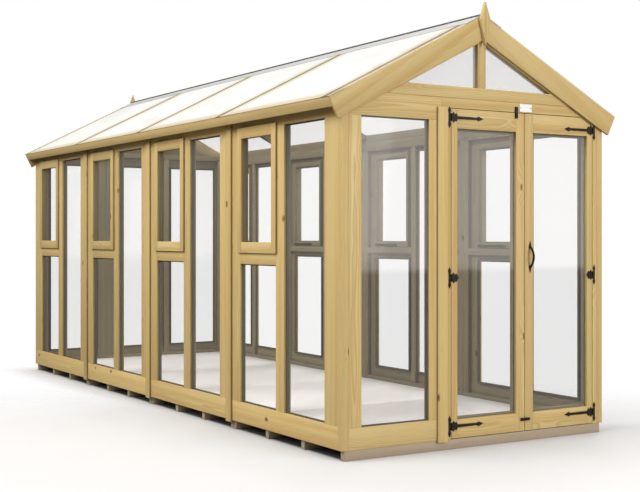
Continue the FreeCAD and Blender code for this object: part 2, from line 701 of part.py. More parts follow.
def leaf_beads(name, light):
    """Four beads behind a leaf's pane, inside its opening."""
    x, z, width, height = light
    y = f"{FRONT} + glass_setback + glass"
    depth = "door_thickness - glass_setback - glass"
    between = f"{height} - 2 * bead_width"
    return [
        box(f"{name}_low", x, y, z, width, depth, "bead_width"),
        box(f"{name}_high", x, y, f"{z} + {height} - bead_width", width, depth, "bead_width"),
        box(f"{name}_left", x, y, f"{z} + bead_width", "bead_width", depth, between),
        box(f"{name}_right", f"{x} + {width} - bead_width", y, f"{z} + bead_width", "bead_width", depth, between),
    ]


# Strap hinges

def flat_iron(edges):
    """Iron of the hinge thickness in front of the wall face, from the edges of its (x, z) outline."""
    face = Part.Face(Part.Wire(edges))
    return face.extrude(FreeCAD.Vector(0, -value("iron"), 0))


def flat_point(x, z):
    return FreeCAD.Vector(x, 0, z)


def line(start, end):
    return Part.LineSegment(flat_point(*start), flat_point(*end)).toShape()


def arc(start, end, rise):
    """Arc whose middle stands off its chord, to the left of the way it runs, by a part of the chord."""
    x = (start[0] + end[0]) / 2 - rise * (end[1] - start[1])
    z = (start[1] + end[1]) / 2 + rise * (end[0] - start[0])
    return Part.Arc(flat_point(*start), flat_point(x, z), flat_point(*end)).toShape()


def turned_over(edges):
    """The same edges on the other side of the strap's middle line."""
    return [edge.mirror(FreeCAD.Vector(0, 0, 0), FreeCAD.Vector(0, 0, 1)) for edge in edges]


def round_bar(radius, low, height):
    """Upright round bar on the hinge axis."""
    return Part.makeCylinder(radius, height, FreeCAD.Vector(0, -value("barrel"), low))


def strap(length):
    """Strap from its knuckle along +X: two petals each side of the root, a tapering bar and a spear tip."""
    knuckle = value("knuckle")
    root = value("barrel") + 2 * value("pin_gap")
    notch = root + value("petal_width")
    neck = notch + value("petal_width")
    petal = value("petal_height")
    first_tip = (root + notch) / 2
    second_tip = (notch + neck) / 2
    small_petal = 0.8 * petal
    valley = 0.5 * petal
    bar = value("strap_width") / 2
    spear = value("spear_length")
    spear_start = length - spear
    spear_half = bar + 0.1 * spear
    upper = [
        line((0, knuckle / 2), (root, knuckle / 2)),
        line((root, knuckle / 2), (root, valley)),
        arc((root, valley), (first_tip, petal), 0.1),
        arc((first_tip, petal), (notch, valley), 0.1),
        arc((notch, valley), (second_tip, small_petal), 0.1),
        arc((second_tip, small_petal), (neck, bar), 0.1),
    ]
    if spear_start > neck:
        upper.append(line((neck, bar), (spear_start, 0.8 * bar)))
        upper.append(line((spear_start, 0.8 * bar), (spear_start + 0.2 * spear, spear_half)))
        upper.append(line((spear_start + 0.2 * spear, spear_half), (length, 0)))
    else:
        upper.append(line((neck, bar), (length, 0)))
    heel = line((0, knuckle / 2), (0, -knuckle / 2))
    flat = flat_iron(Part.__sortEdges__(upper + turned_over(upper) + [heel]))
    bore = round_bar(value("hinge_pin + pin_gap"), -knuckle, 2 * knuckle)
    return flat.fuse(round_bar(value("barrel"), -knuckle / 2, knuckle)).cut(bore).removeSplitter()


def hinge_plate():
    """Plate on the jamb at -X of its pin: two outer knuckles, a straight middle and spade tips."""
    half = value("plate_height") / 2
    barrel_half = value("barrel_length") / 2
    clear = value("knuckle") / 2 + value("pin_gap")
    inner = -value("barrel") - 2 * value("pin_gap")
    outer = inner - value("plate_width")
    middle = (inner + outer) / 2
    spade = value("spade_width") / 2
    neck = half - 1.5 * value("spade_width")
    shoulder = half - value("spade_width")
    right = [
        line((inner, 0), (inner, neck)),
        line((inner, neck), (middle + spade, shoulder)),
        line((middle + spade, shoulder), (middle, half)),
    ]
    left = [
        line((outer, 0), (outer, neck)),
        line((outer, neck), (middle - spade, shoulder)),
        line((middle - spade, shoulder), (middle, half)),
    ]
    upper = right + left
    flat = flat_iron(Part.__sortEdges__(upper + turned_over(upper)))
    pieces = [round_bar(value("hinge_pin"), -barrel_half, 2 * barrel_half)]
    for low in (clear, -barrel_half):
        height = barrel_half - clear
        pieces.append(round_bar(value("barrel"), low, height))
        pieces.append(Part.makeBox(-inner, value("iron"), height,
                                   FreeCAD.Vector(inner, -value("iron"), low)))
    return flat.fuse(pieces).removeSplitter()


def hung(name, shape, x, height, right_hand=False):
    """A hinge shape set on its pin, turned over for the right leaf."""
    if right_hand:
        shape = shape.mirror(FreeCAD.Vector(0, 0, 0), ACROSS)
    place = FreeCAD.Vector(value(x), value(FRONT), value(f"{FLOOR} + {height}"))
    piece = formed(name, shape)
    piece.Placement = FreeCAD.Placement(place, FreeCAD.Rotation())
    return piece


LEFT_HINGES = [("high", "hinge_high"), ("middle", "hinge_middle"), ("low", "hinge_low")]
RIGHT_HINGES = [("high", "hinge_high - hinge_high_drop")] + LEFT_HINGES[1:]


def hinge_plates():
    plates = []
    for place, height in LEFT_HINGES:
        plates.append(hung(f"plate_left_{place}", hinge_plate(), LEFT_AXIS, height))
    for place, height in RIGHT_HINGES:
        plates.append(hung(f"plate_right_{place}", hinge_plate(), RIGHT_AXIS, height, right_hand=True))
    return group("hinge_plates_pieces", plates)


def straps(side, axis, hinges, right_hand=False):
    """Long straps at the top and bottom of a leaf, and a short one between."""
    pieces = []
    for place, height in hinges:
        length = value("short_strap" if place == "middle" else "strap_length")
        pieces.append(hung(f"strap_{side}_{place}", strap(length), axis, height, right_hand))
    return pieces


# Pull handle and bolts

HANDLE_X = f"({RIGHT_LEAF} + handle_inset)"


def pull_handle():
    """Bowed grip on two feet with pointed tails, on the right leaf's meeting stile."""
    foot = value("handle_span") / 2
    tip = value("handle_tail") / 2
    grip = value("handle_grip")
    reach = value("handle_reach")
    rim = []
    for size in (grip, -grip):
        ends = [FreeCAD.Vector(-grip, 0, side * (foot + size)) for side in (-1, 1)]
        crown = FreeCAD.Vector(-grip, -reach - size, 0)
        rim.append(Part.Arc(ends[0], crown, ends[1]).toShape())
    outer, inner = rim
    feet = [Part.makeLine(outer.Vertexes[end].Point, inner.Vertexes[end].Point) for end in (0, 1)]
    bow = Part.Face(Part.Wire(Part.__sortEdges__(rim + feet))).extrude(2 * grip * ACROSS)
    long_edges = [edge for edge in bow.Edges if edge.Length > foot]
    bow = bow.makeChamfer(0.5 * grip, long_edges)
    tail_half = 1.5 * grip
    tail_root = foot - 2 * grip
    tail = [
        line((0, tip), (tail_half, foot)),
        line((tail_half, foot), (tail_half * 0.7, tail_root)),
        line((tail_half * 0.7, tail_root), (-tail_half * 0.7, tail_root)),
        line((-tail_half * 0.7, tail_root), (-tail_half, foot)),
        line((-tail_half, foot), (0, tip)),
    ]
    upper = flat_iron(tail)
    lower = flat_iron(turned_over(tail))
    return hung("handle", bow.fuse([upper, lower]), HANDLE_X, "handle_height")


def channel(name, along, x, z, length):
    """Two cheeks and a bridge that hold a bolt against the door face. along is the bolt's own axis."""
    inner = "(bolt_width + 2 * bolt_gap)"
    depth = "(bolt_depth + 2 * bolt_gap)"
    y = f"{FRONT} - {depth}"
    low = f"- {inner} / 2 - bolt_iron"
    high = f"+ {inner} / 2"
    wide = f"({inner} + 2 * bolt_iron)"
    if along == "Z":
        return [
            box(f"{name}_left", f"{x} {low}", y, z, "bolt_iron", depth, length),
            box(f"{name}_right", f"{x} {high}", y, z, "bolt_iron", depth, length),
            box(f"{name}_bridge", f"{x} {low}", f"{y} - bolt_iron", z, wide, "bolt_iron", length),
        ]
    return [
        box(f"{name}_low", x, y, f"{z} {low}", length, depth, "bolt_iron"),
        box(f"{name}_high", x, y, f"{z} {high}", length, depth, "bolt_iron"),
        box(f"{name}_bridge", x, f"{y} - bolt_iron", f"{z} {low}", length, "bolt_iron", wide),
    ]


HEAD_BOLT_X = f"({LEFT_LEAF} + {LEAF} - bolt_inset)"
HEAD_BOLT_LOW = f"({LEAF_LOW} + {LEAF_HEIGHT} - bolt_length)"
FOOT_BOLT_Z = "(joist_height + foot_bolt_height)"
FOOT_KEEP_X = f"({LEFT_LEAF} + {LEAF} - keep_length)"


def bolt_bar(name, along):
    """The bar of a bolt, drawn back clear of its keep."""
    y = f"{FRONT} - bolt_gap - bolt_depth"
    if along == "Z":
        return box(name, f"{HEAD_BOLT_X} - bolt_width / 2", y, HEAD_BOLT_LOW, "bolt_width",
                   "bolt_depth", "bolt_length")
    return box(name, RIGHT_LEAF, y, f"{FOOT_BOLT_Z} - bolt_width / 2", "bolt_length", "bolt_depth",
               "bolt_width")


# Gables

def gable_frame():
    """Bottom rail, two rafters and a king post over the front wall."""
    y = f"{FRONT} - gable_proud"
    rail_top = f"({END_TOP} + gable_rail)"
    rail_inner = f"(({RIDGE} - gable_rafter / cos(roof_pitch) - {END_TOP}) / tan(roof_pitch))"
    rail_upper = f"(({RIDGE} - gable_rafter / cos(roof_pitch) - {rail_top}) / tan(roof_pitch))"
    half_post = "(king_post / 2)"
    rail = [
        (f"-{rail_inner}", END_TOP),
        (rail_inner, END_TOP),
        (rail_upper, rail_top),
        (f"-{rail_upper}", rail_top),
    ]
    rafter = [
        ("0", RIDGE),
        (SIDE, END_TOP),
        (rail_inner, END_TOP),
        ("0", roof_z("0", "gable_rafter")),
    ]
    post = [
        (f"-{half_post}", rail_top),
        (half_post, rail_top),
        (half_post, roof_z(half_post, "gable_rafter")),
        ("0", roof_z("0", "gable_rafter")),
        (f"-{half_post}", roof_z(half_post, "gable_rafter")),
    ]
    right = prism("gable_rafter_right", rafter, y, "wall")
    left = mirror("gable_rafter_left", right, ACROSS)
    return group("front_gable", [prism("gable_rail_piece", rail, y, "wall"), right, left,
                                 prism("gable_post_piece", post, y, "wall")])


def gable_panes():
    """Two triangular panes in the front gable."""
    bottom = f"({END_TOP} + gable_rail + pane_gap)"
    inner = "(king_post / 2 + pane_gap)"
    depth = "gable_rafter + pane_gap"
    outer = f"(({RIDGE} - ({depth}) / cos(roof_pitch) - {bottom}) / tan(roof_pitch))"
    outline = [(inner, bottom), (outer, bottom), (inner, roof_z(inner, depth))]
    right = prism("gable_pane_right", outline, f"{FRONT} + glass_setback", "glass")
    return group("front_gable_panes", [right, mirror("gable_pane_left", right, ACROSS)])


def barge_boards():
    """Two boards down the front gable, square-cut at the eaves."""
    outline = [
        ("0", RIDGE),
        slope_point(EAVE, "0"),
        slope_point(EAVE, "barge_depth"),
        ("0", roof_z("0", "barge_depth")),
    ]
    right = prism("barge_right", outline, f"{FRONT} - gable_proud - barge_thickness", "barge_thickness")
    return group("front_barges", [right, mirror("barge_left", right, ACROSS)])


def finial():
    """Pointed board over the meeting of the barge boards."""
    half = "(finial_width / 2)"
    outline = [
        ("0", f"{RIDGE} + finial_rise"),
        (half, f"{RIDGE} - finial_shoulder"),
        ("0", f"{RIDGE} - finial_drop"),
        (f"-{half}", f"{RIDGE} - finial_shoulder"),
    ]
    y = f"{FRONT} - gable_proud - barge_thickness - finial_thickness"
    return prism("front_finial", outline, y, "finial_thickness")


# Roof, made on the right and mirrored to the left

GABLE_BACK = f"({FRONT} - gable_proud + wall)"
RAFTER_END = f"({EAVE} - fascia_thickness)"


def rafters():
    """A rafter over each joint of the side panels, from the ridge board to the fascia."""
    half = "(ridge_board / 2)"
    outline = [
        (half, roof_z(half)),
        slope_point(RAFTER_END, "0"),
        slope_point(RAFTER_END, "rafter_depth"),
        (half, roof_z(half, "rafter_depth")),
    ]
    pieces = []
    for joint in range(1, BAYS):
        pieces.append(prism(f"rafter_{joint}", outline, f"{bay_start(joint)} - rafter_width / 2",
                            "rafter_width"))
    return group("right_rafters", pieces)


def ridge_board():
    return box("ridge_piece", "-ridge_board / 2", GABLE_BACK,
               f"{roof_z('ridge_board / 2')} - ridge_depth", "ridge_board", f"-2 * {GABLE_BACK}",
               "ridge_depth")


def eaves_beams():
    """Beams on the side wall between the rafters, up to the roof sheets."""
    outline = [
        (INSIDE, roof_z(INSIDE, "rafter_depth")),
        (SIDE, roof_z(SIDE, "rafter_depth")),
        (SIDE, roof_z(SIDE)),
        (INSIDE, roof_z(INSIDE)),
    ]
    beams = []
    for bay in range(BAYS):
        start = GABLE_BACK if bay == 0 else f"({bay_start(bay)} + rafter_width / 2)"
        end = f"(-{GABLE_BACK})" if bay == BAYS - 1 else f"({bay_start(bay + 1)} - rafter_width / 2)"
        beams.append(prism(f"eaves_beam_{bay}", outline, start, f"{end} - {start}"))
    return group("right_eaves_beams", beams)


def fascia():
    """Board across the rafter ends between the barge boards."""
    outline = [
        slope_point(RAFTER_END, "0"),
        slope_point(EAVE, "0"),
        slope_point(EAVE, "fascia_depth"),
        slope_point(RAFTER_END, "fascia_depth"),
    ]
    start = f"({FRONT} - gable_proud)"
    return prism("right_fascia", outline, start, f"-2 * {start}")


def slope_strip(name, inner, low_depth, high_depth, reach, y, length):
    """A flat strip on the right slope between two depths, from the ridge down to a reach."""
    outline = [
        (inner, roof_z(inner, low_depth)),
        slope_point(reach, low_depth),
        slope_point(reach, high_depth),
        (inner, roof_z(inner, high_depth)),
    ]
    return prism(name, outline, y, length)


BARGE_FRONT = f"({FRONT} - gable_proud - barge_thickness)"


def roof_sheets():
    """One clear sheet to each bay, meeting over the rafters."""
    sheets = []
    for bay in range(BAYS):
        start = BARGE_FRONT if bay == 0 else f"({bay_start(bay)} + sheet_gap / 2)"
        end = f"(-{BARGE_FRONT})" if bay == BAYS - 1 else f"({bay_start(bay + 1)} - sheet_gap / 2)"
        sheets.append(slope_strip(f"sheet_{bay}", "ridge_joint", "0", "-sheet", EAVE, start,
                                  f"{end} - {start}"))
    return group("right_sheets", sheets)


def ridge_capping():
    """Wide flashing with a narrow cap over it."""
    length = f"-2 * {BARGE_FRONT}"
    flashing = slope_strip("right_flashing", "ridge_joint", "-sheet", "-sheet - flashing", "flashing_width",
                           BARGE_FRONT, length)
    cap = slope_strip("right_cap", "ridge_joint", "-sheet - flashing", "-sheet - flashing - cap",
                      "cap_width", BARGE_FRONT, length)
    return group("right_capping", [flashing, cap])


# Sub-parts of the fixed house

node(floor_joists(), "floor_joists")
node(floor_deck(), "floor_deck")
node(corner_posts(), "corner_posts")

right_wall = node(group("right_wall", sum([side_panel(bay) for bay in range(BAYS)], [])), "right_wall_frame")
node(mirror("left_wall", right_wall, ACROSS), "left_wall_frame")
node(back_wall(), "back_wall_frame")
front_panel = end_panel("front_narrow", f"-{INSIDE}", JOINT, *NARROW_WIDTHS)
node(group("front_panel", front_panel), "front_panel_frame")
node(door_frame(), "door_frame")

right_battens = group("right_battens", side_battens())
left_battens = mirror("left_battens", right_battens, ACROSS)
node(group("battens", [right_battens, left_battens] + end_battens()), "cover_battens")

right_panes = node(group("right_panes", [side_pane(f"pane_{name}", y, z, height)
                                         for name, y, z, height, stud in side_openings()]), "right_wall_panes")
node(mirror("left_panes", right_panes, ACROSS), "left_wall_panes")
front_light = ("front_light", NARROW_X, END_SILL, NARROW_WIDTH, END_HEIGHT)
end_panes = [end_pane(*front_light)]
bead_pieces = end_beads("front_light_bead", *front_light[1:], False, True)
for name, x, width, stud_left, stud_right in back_openings():
    end_panes.append(end_pane(name, x, END_SILL, width, END_HEIGHT, back=True))
    bead_pieces += end_beads(f"{name}_bead", x, END_SILL, width, END_HEIGHT, stud_left, stud_right, back=True)
node(group("end_panes", end_panes), "end_wall_panes")
right_beads = group("right_beads", sum([side_beads(f"bead_{name}", y, z, height, stud)
                                        for name, y, z, height, stud in side_openings()], []))
node(group("beads", [right_beads, mirror("left_beads", right_beads, ACROSS)] + bead_pieces), "glazing_beads")

front_gable = gable_frame()
node(group("gables", [front_gable, mirror("back_gable", front_gable, ALONG)]), "gable_frames")
front_gable_panes = gable_panes()
node(group("both_gable_panes", [front_gable_panes, mirror("back_gable_panes", front_gable_panes, ALONG)]),
     "gable_panes")
front_barges = barge_boards()
node(group("barges", [front_barges, mirror("back_barges", front_barges, ALONG)]), "barge_boards")
front_finial = finial()
node(group("finial_pair", [front_finial, mirror("back_finial", front_finial, ALONG)]), "finials")

for label, right_part in (("rafters", rafters()), ("eaves_beams", eaves_beams()), ("fascias", fascia()),
                          ("roof_sheets", roof_sheets()), ("ridge_cap", ridge_capping())):
    left_part = mirror(f"left_{label}", right_part, ACROSS)
    node(group(f"both_{label}", [right_part, left_part]), label)
node(ridge_board(), "ridge_board")

node(hinge_plates(), "door_hinge_plates")
right_hinges = sash_hinges()
node(group("all_sash_hinges", [right_hinges, mirror("sash_hinges_left", right_hinges, ACROSS)]), "sash_hinges")
node(group("head_keep", channel("head_keep", "Z", HEAD_BOLT_X, DOOR_HEAD, "keep_length")), "bolt_keep")

# Sub-parts of the doors

left_light = leaf_light(LEFT_LEAF, "hanging_stile")
left_leaf = leaf_frame("left_leaf", LEFT_LEAF, "hanging_stile", "meeting_stile")
node(group("left_leaf", left_leaf + leaf_beads("left_leaf_bead", left_light)), "left_door_frame")
node(leaf_pane("left_leaf_pane", left_light), "left_door_pane")
left_iron = straps("left", LEFT_AXIS, LEFT_HINGES)
left_iron += channel("head_guide", "Z", HEAD_BOLT_X, HEAD_BOLT_LOW, "bolt_length")
left_iron += channel("foot_keep", "X", FOOT_KEEP_X, FOOT_BOLT_Z, "keep_length")
node(group("left_iron", left_iron), "left_door_ironwork")
node(bolt_bar("head_bolt", "Z"), "head_bolt")

right_light = leaf_light(RIGHT_LEAF, "meeting_stile")
right_members = leaf_frame("right_leaf", RIGHT_LEAF, "meeting_stile", "hanging_stile")
meeting_stile, hanging_stile, foot_rail, head_rail = right_members
corner_space = barge_space("corner_space", "barge_clearance")
right_leaf = [
    meeting_stile,
    cut("hanging_stile_cut", hanging_stile, corner_space),
    foot_rail,
    cut("head_rail_cut", head_rail, corner_space),
]
node(group("right_leaf", right_leaf + leaf_beads("right_leaf_bead", right_light)), "right_door_frame")
node(leaf_pane("right_leaf_pane", right_light), "right_door_pane")
right_iron = straps("right", RIGHT_AXIS, RIGHT_HINGES, right_hand=True)
right_iron += channel("foot_guide", "X", RIGHT_LEAF, FOOT_BOLT_Z, "bolt_length")
node(group("right_iron", right_iron), "right_door_ironwork")
node(bolt_bar("foot_bolt", "X"), "foot_bolt")
node(pull_handle(), "door_handle")

# Sub-parts of the sashes, numbered from the front

for bay in range(BAYS):
    for part, piece in (("frame", sash_frame(bay)), ("pane", sash_pane(bay)), ("stay", sash_stay(bay))):
        node(piece, f"right_sash_{bay + 1}_{part}")
        node(mirror(f"left_sash_{bay}_{part}", piece, ACROSS), f"left_sash_{bay + 1}_{part}")

doc.recompute()

# Nothing is written unless every object is sound
for item in doc.Objects:
    if "Invalid" in item.State or "Error" in item.State:
        raise RuntimeError(f"{item.Label} did not build: {item.State}")
for piece in nodes:
    if piece.Shape.isNull() or not piece.Shape.isValid() or not piece.Shape.Solids:
        raise RuntimeError(f"{piece.Label} has no sound shape")

os.makedirs("parts", exist_ok=True)
for piece in nodes:
    solids = piece.Shape.Solids
    shape = solids[0] if len(solids) == 1 else Part.makeCompound(solids)
    shape.exportStep(f"parts/{piece.Label}.step")
print(len(nodes), "sub-parts,", sum(len(piece.Shape.Solids) for piece in nodes), "solids")
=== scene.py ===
# %% [markdown]
# # A wooden greenhouse, dressed in Blender
# The joinery of this greenhouse is already drawn as exact solids: boards, panes, hinges and bolts, each
# in its place and in metres. This lesson loads those solids as a fixed frame and gives them the look of
# a real garden building: planed pine with grain and knots, thin glazing, milky roof sheets, a folded
# metal ridge and black ironwork.

# %% Load the frame
import json
import math
import random

import bmesh
import bpy
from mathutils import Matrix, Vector


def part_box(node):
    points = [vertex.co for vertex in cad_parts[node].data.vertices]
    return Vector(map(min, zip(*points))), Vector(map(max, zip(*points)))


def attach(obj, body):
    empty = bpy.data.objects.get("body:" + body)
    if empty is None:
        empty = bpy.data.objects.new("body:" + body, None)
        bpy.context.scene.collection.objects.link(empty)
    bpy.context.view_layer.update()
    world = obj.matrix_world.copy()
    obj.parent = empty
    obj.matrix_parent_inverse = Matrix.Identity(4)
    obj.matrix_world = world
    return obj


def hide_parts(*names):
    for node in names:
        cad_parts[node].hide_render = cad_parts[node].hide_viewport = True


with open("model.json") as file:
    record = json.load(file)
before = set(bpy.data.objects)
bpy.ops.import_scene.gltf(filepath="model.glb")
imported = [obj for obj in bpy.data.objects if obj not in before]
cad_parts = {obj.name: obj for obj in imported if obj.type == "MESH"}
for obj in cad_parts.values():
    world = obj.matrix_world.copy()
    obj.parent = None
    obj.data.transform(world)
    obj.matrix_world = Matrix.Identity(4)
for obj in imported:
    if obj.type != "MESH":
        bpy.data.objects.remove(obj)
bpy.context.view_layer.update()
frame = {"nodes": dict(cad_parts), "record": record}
bpy.ops.object.select_all(action="DESELECT")

# %% [markdown]
# ## The view
# The building is seen from the front left corner, a little over a metre above the ground, with a lens
# of about 66 mm. The camera is kept level so that the posts stay upright in the picture. A level
# camera puts the horizon in the middle, so a small vertical shift of the lens sets the framing.

# %% Camera
bpy.ops.object.camera_add(location=(-4.1662, -7.5631, 1.1534), rotation=(math.radians(90), 0, math.radians(-31.5)))
camera = bpy.context.object
camera.name = "photo_view"
camera.data.lens = 66.39
camera.data.sensor_width = 36.0
camera.data.shift_y = -0.0141
bpy.context.scene.camera = camera
bpy.context.scene.view_settings.view_transform = "Standard"
print("camera stands", round(camera.location.length, 2), "m from the middle of the floor")

# %% [markdown]
# ## Floor and light
# A greenhouse is best shown in even light, because its glass would mirror any hard lamp. A pale sky,
# brighter overhead than at its foot, leaves soft shade in every corner and under the eaves. Two broad
# lamps stand one to each wall that the camera sees, a third hangs over the roof, and a weaker fourth
# lights the far corner. The camera sees the sky and the floor nearly white, while the light that they
# send back is weaker, so the shade under the eaves stays deep. The floor fades out so that no horizon
# shows, but it stays close round the house, and it is painted dark under the low bearers, a painted shade.

# %% Sky
def shader_node(tree, kind, inputs=None, **settings):
    """Adds one shader node, sets its options, and fills or wires its inputs."""
    made = tree.nodes.new(kind)
    for option, choice in settings.items():
        setattr(made, option, choice)
    for socket, given in (inputs or {}).items():
        if isinstance(given, bpy.types.NodeSocket):
            tree.links.new(given, made.inputs[socket])
        else:
            made.inputs[socket].default_value = given
    return made


def mixed(tree, share, first, second, blend="MIX"):
    """Mixes two colours by a mask and gives the mixed colour socket."""
    node = shader_node(tree, "ShaderNodeMix", {"Factor": share}, data_type="RGBA", blend_type=blend)
    for place, colour in ((6, first), (7, second)):
        if isinstance(colour, bpy.types.NodeSocket):
            tree.links.new(colour, node.inputs[place])
        else:
            node.inputs[place].default_value = (*colour, 1.0)
    return node.outputs[2]


def ranged(tree, value, low, high, to_low, to_high, curve="LINEAR"):
    """Maps a mask from one range to another."""
    node = shader_node(tree, "ShaderNodeMapRange", {"Value": value, "From Min": low, "From Max": high,
                                                    "To Min": to_low, "To Max": to_high}, interpolation_type=curve)
    return node.outputs["Result"]


SKY_TOP = (0.65, 0.65, 0.66)
SKY_FOOT = (0.26, 0.26, 0.26)
GROUND_GLOW = (0.08, 0.08, 0.08)
WHITE = (1.0, 1.0, 1.0)
sky = bpy.data.worlds.new("studio_sky")
sky.use_nodes = True
air = sky.node_tree
facing = shader_node(air, "ShaderNodeTexCoord")
rise = shader_node(air, "ShaderNodeSeparateXYZ", {0: facing.outputs["Generated"]})
overhead = mixed(air, ranged(air, rise.outputs["Z"], 0.0, 0.9, 0.0, 1.0), SKY_FOOT, SKY_TOP)
dome = mixed(air, ranged(air, rise.outputs["Z"], -0.04, 0.0, 0.0, 1.0), GROUND_GLOW, overhead)
seen = shader_node(air, "ShaderNodeLightPath")
shown_sky = mixed(air, seen.outputs["Is Camera Ray"], dome, WHITE)
air.links.new(shown_sky, air.nodes["Background"].inputs["Color"])
bpy.context.scene.world = sky
print("sky top", SKY_TOP, "foot", SKY_FOOT)


# %% Lamps
def soft_lamp(name, location, size, energy):
    """Hangs a broad square lamp that faces the middle of the building."""
    bpy.ops.object.light_add(type="AREA", location=location)
    lamp = bpy.context.object
    lamp.name = name
    lamp.data.size = size
    lamp.data.energy = energy
    lamp.rotation_euler = (Vector((0, 0, 1.0)) - lamp.location).to_track_quat("-Z", "Y").to_euler()


soft_lamp("left_wall_lamp", (-11.0, -0.4, 9.8), 9.0, 2070.0)
soft_lamp("front_wall_lamp", (3.0, -13.0, 4.2), 7.0, 1130.0)
soft_lamp("roof_lamp", (-1.0, 0.0, 12.0), 6.0, 480.0)
soft_lamp("right_wall_lamp", (9.5, 5.0, 7.0), 8.0, 620.0)
print("lamps hung: 4")


# %% Pale floor
def new_material(name):
    """Makes an empty material and returns it with its node tree and its surface shader."""
    material = bpy.data.materials.new(name)
    material.use_nodes = True
    return material, material.node_tree, material.node_tree.nodes["Principled BSDF"]


FLOOR_RADIUS = 14.0
FLOOR_SEEN = (0.56, 0.55, 0.538)
FLOOR_BOUNCE = (0.25, 0.24, 0.23)
# painted shade: the floor under the low bearers is painted nearly black
UNDER_FLOOR_SHADE = (0.06, 0.053, 0.047)
FADE_MIDDLE = (-1.2, -2.7, 0.0)
CLOSE_BY = 0.35
JOIST_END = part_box("floor_joists")[1][0]
JOIST_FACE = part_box("floor_joists")[1][1]
bpy.ops.mesh.primitive_circle_add(vertices=96, radius=FLOOR_RADIUS, fill_type="NGON", location=(0, 0, -0.0005))
floor = bpy.context.object
floor.name = "pale_floor"
floor_paint, tree, surface = new_material("pale_floor_paint")
place = shader_node(tree, "ShaderNodeTexCoord")
off_middle = shader_node(tree, "ShaderNodeVectorMath", {0: place.outputs["Object"], 1: FADE_MIDDLE}, operation="SUBTRACT")
reach = shader_node(tree, "ShaderNodeVectorMath", {0: off_middle.outputs[0]}, operation="LENGTH")
fade = ranged(tree, reach.outputs["Value"], 1.8, 4.2, 1.0, 0.0, "SMOOTHSTEP")
size = shader_node(tree, "ShaderNodeVectorMath", {0: place.outputs["Object"]}, operation="ABSOLUTE")
sides = shader_node(tree, "ShaderNodeSeparateXYZ", {0: size.outputs[0]})
in_width = ranged(tree, sides.outputs["X"], JOIST_END - 0.03, JOIST_END, 1.0, 0.0)
in_length = ranged(tree, sides.outputs["Y"], JOIST_FACE - 0.03, JOIST_FACE, 1.0, 0.0)
under = shader_node(tree, "ShaderNodeMath", {0: in_width, 1: in_length}, operation="MULTIPLY")
beside = ranged(tree, sides.outputs["X"], JOIST_END, JOIST_END + CLOSE_BY, 1.0, 0.0, "SMOOTHSTEP")
before = ranged(tree, sides.outputs["Y"], JOIST_FACE, JOIST_FACE + CLOSE_BY, 1.0, 0.0, "SMOOTHSTEP")
close = shader_node(tree, "ShaderNodeMath", {0: beside, 1: before}, operation="MULTIPLY")
laid = shader_node(tree, "ShaderNodeMath", {0: fade, 1: close.outputs[0]}, operation="MAXIMUM")
shown_floor = mixed(tree, under.outputs[0], FLOOR_SEEN, UNDER_FLOOR_SHADE)
looked_at = shader_node(tree, "ShaderNodeLightPath")
tree.links.new(mixed(tree, looked_at.outputs["Is Camera Ray"], FLOOR_BOUNCE, shown_floor), surface.inputs["Base Color"])
tree.links.new(laid.outputs[0], surface.inputs["Alpha"])
surface.inputs["Roughness"].default_value = 0.8
floor.data.materials.append(floor_paint)
print("floor radius", FLOOR_RADIUS, "m")

# %% [markdown]
# ## Boards out of the joinery
# Every timber piece of the frame is a bundle of boards. A joiner eases the sharp edges of each board
# before fixing it, and each board has its own grain. So each bundle is copied, and the copy is parted
# into boards: its triangles come board after board, and a board is complete when every edge has met its
# opposite. The corners of each board are merged, flat faces are joined, and a bevel eases the edges.

# %% Part a bundle into boards
EASED_EDGE = 0.0014
WELD = 0.00001


def copy_node(node, name):
    """Copies a frame piece under a new name and leaves the copy selected alone."""
    bpy.ops.object.select_all(action="DESELECT")
    original = frame["nodes"][node]
    original.select_set(True)
    bpy.context.view_layer.objects.active = original
    bpy.ops.object.duplicate()
    copied = bpy.context.object
    copied.name = name
    return copied


def weld_boards(piece):
    """Merges the loose triangles of a bundle into one closed shell for each board."""
    shell = bmesh.new()
    shell.from_mesh(piece.data)
    boards, board, open_edges = [], [], set()
    for face in shell.faces:
        board.append(face)
        corners = [tuple(round(part, 6) for part in vert.co) for vert in face.verts]
        for start, end in zip(corners, corners[1:] + corners[:1]):
            if (end, start) in open_edges:
                open_edges.remove((end, start))
            else:
                open_edges.add((start, end))
        if not open_edges:
            boards.append({vert for part in board for vert in part.verts})
            board = []
    for corners in boards:
        bmesh.ops.remove_doubles(shell, verts=list(corners), dist=WELD)
    shell.to_mesh(piece.data)
    shell.free()
    return len(boards)


def ease_edges(piece, width):
    """Joins the flat triangles of a copy and rounds its edges a little."""
    bpy.ops.object.mode_set(mode="EDIT")
    bpy.ops.mesh.select_all(action="SELECT")
    bpy.ops.mesh.dissolve_limited(angle_limit=math.radians(0.5))
    bpy.ops.object.mode_set(mode="OBJECT")
    bevel = piece.modifiers.new("eased_edges", "BEVEL")
    bevel.width = width
    bevel.segments = 2
    bevel.limit_method = "ANGLE"
    bevel.angle_limit = math.radians(25)
    bpy.ops.object.modifier_apply(modifier=bevel.name)
    bpy.ops.object.shade_smooth_by_angle(angle=math.radians(40))
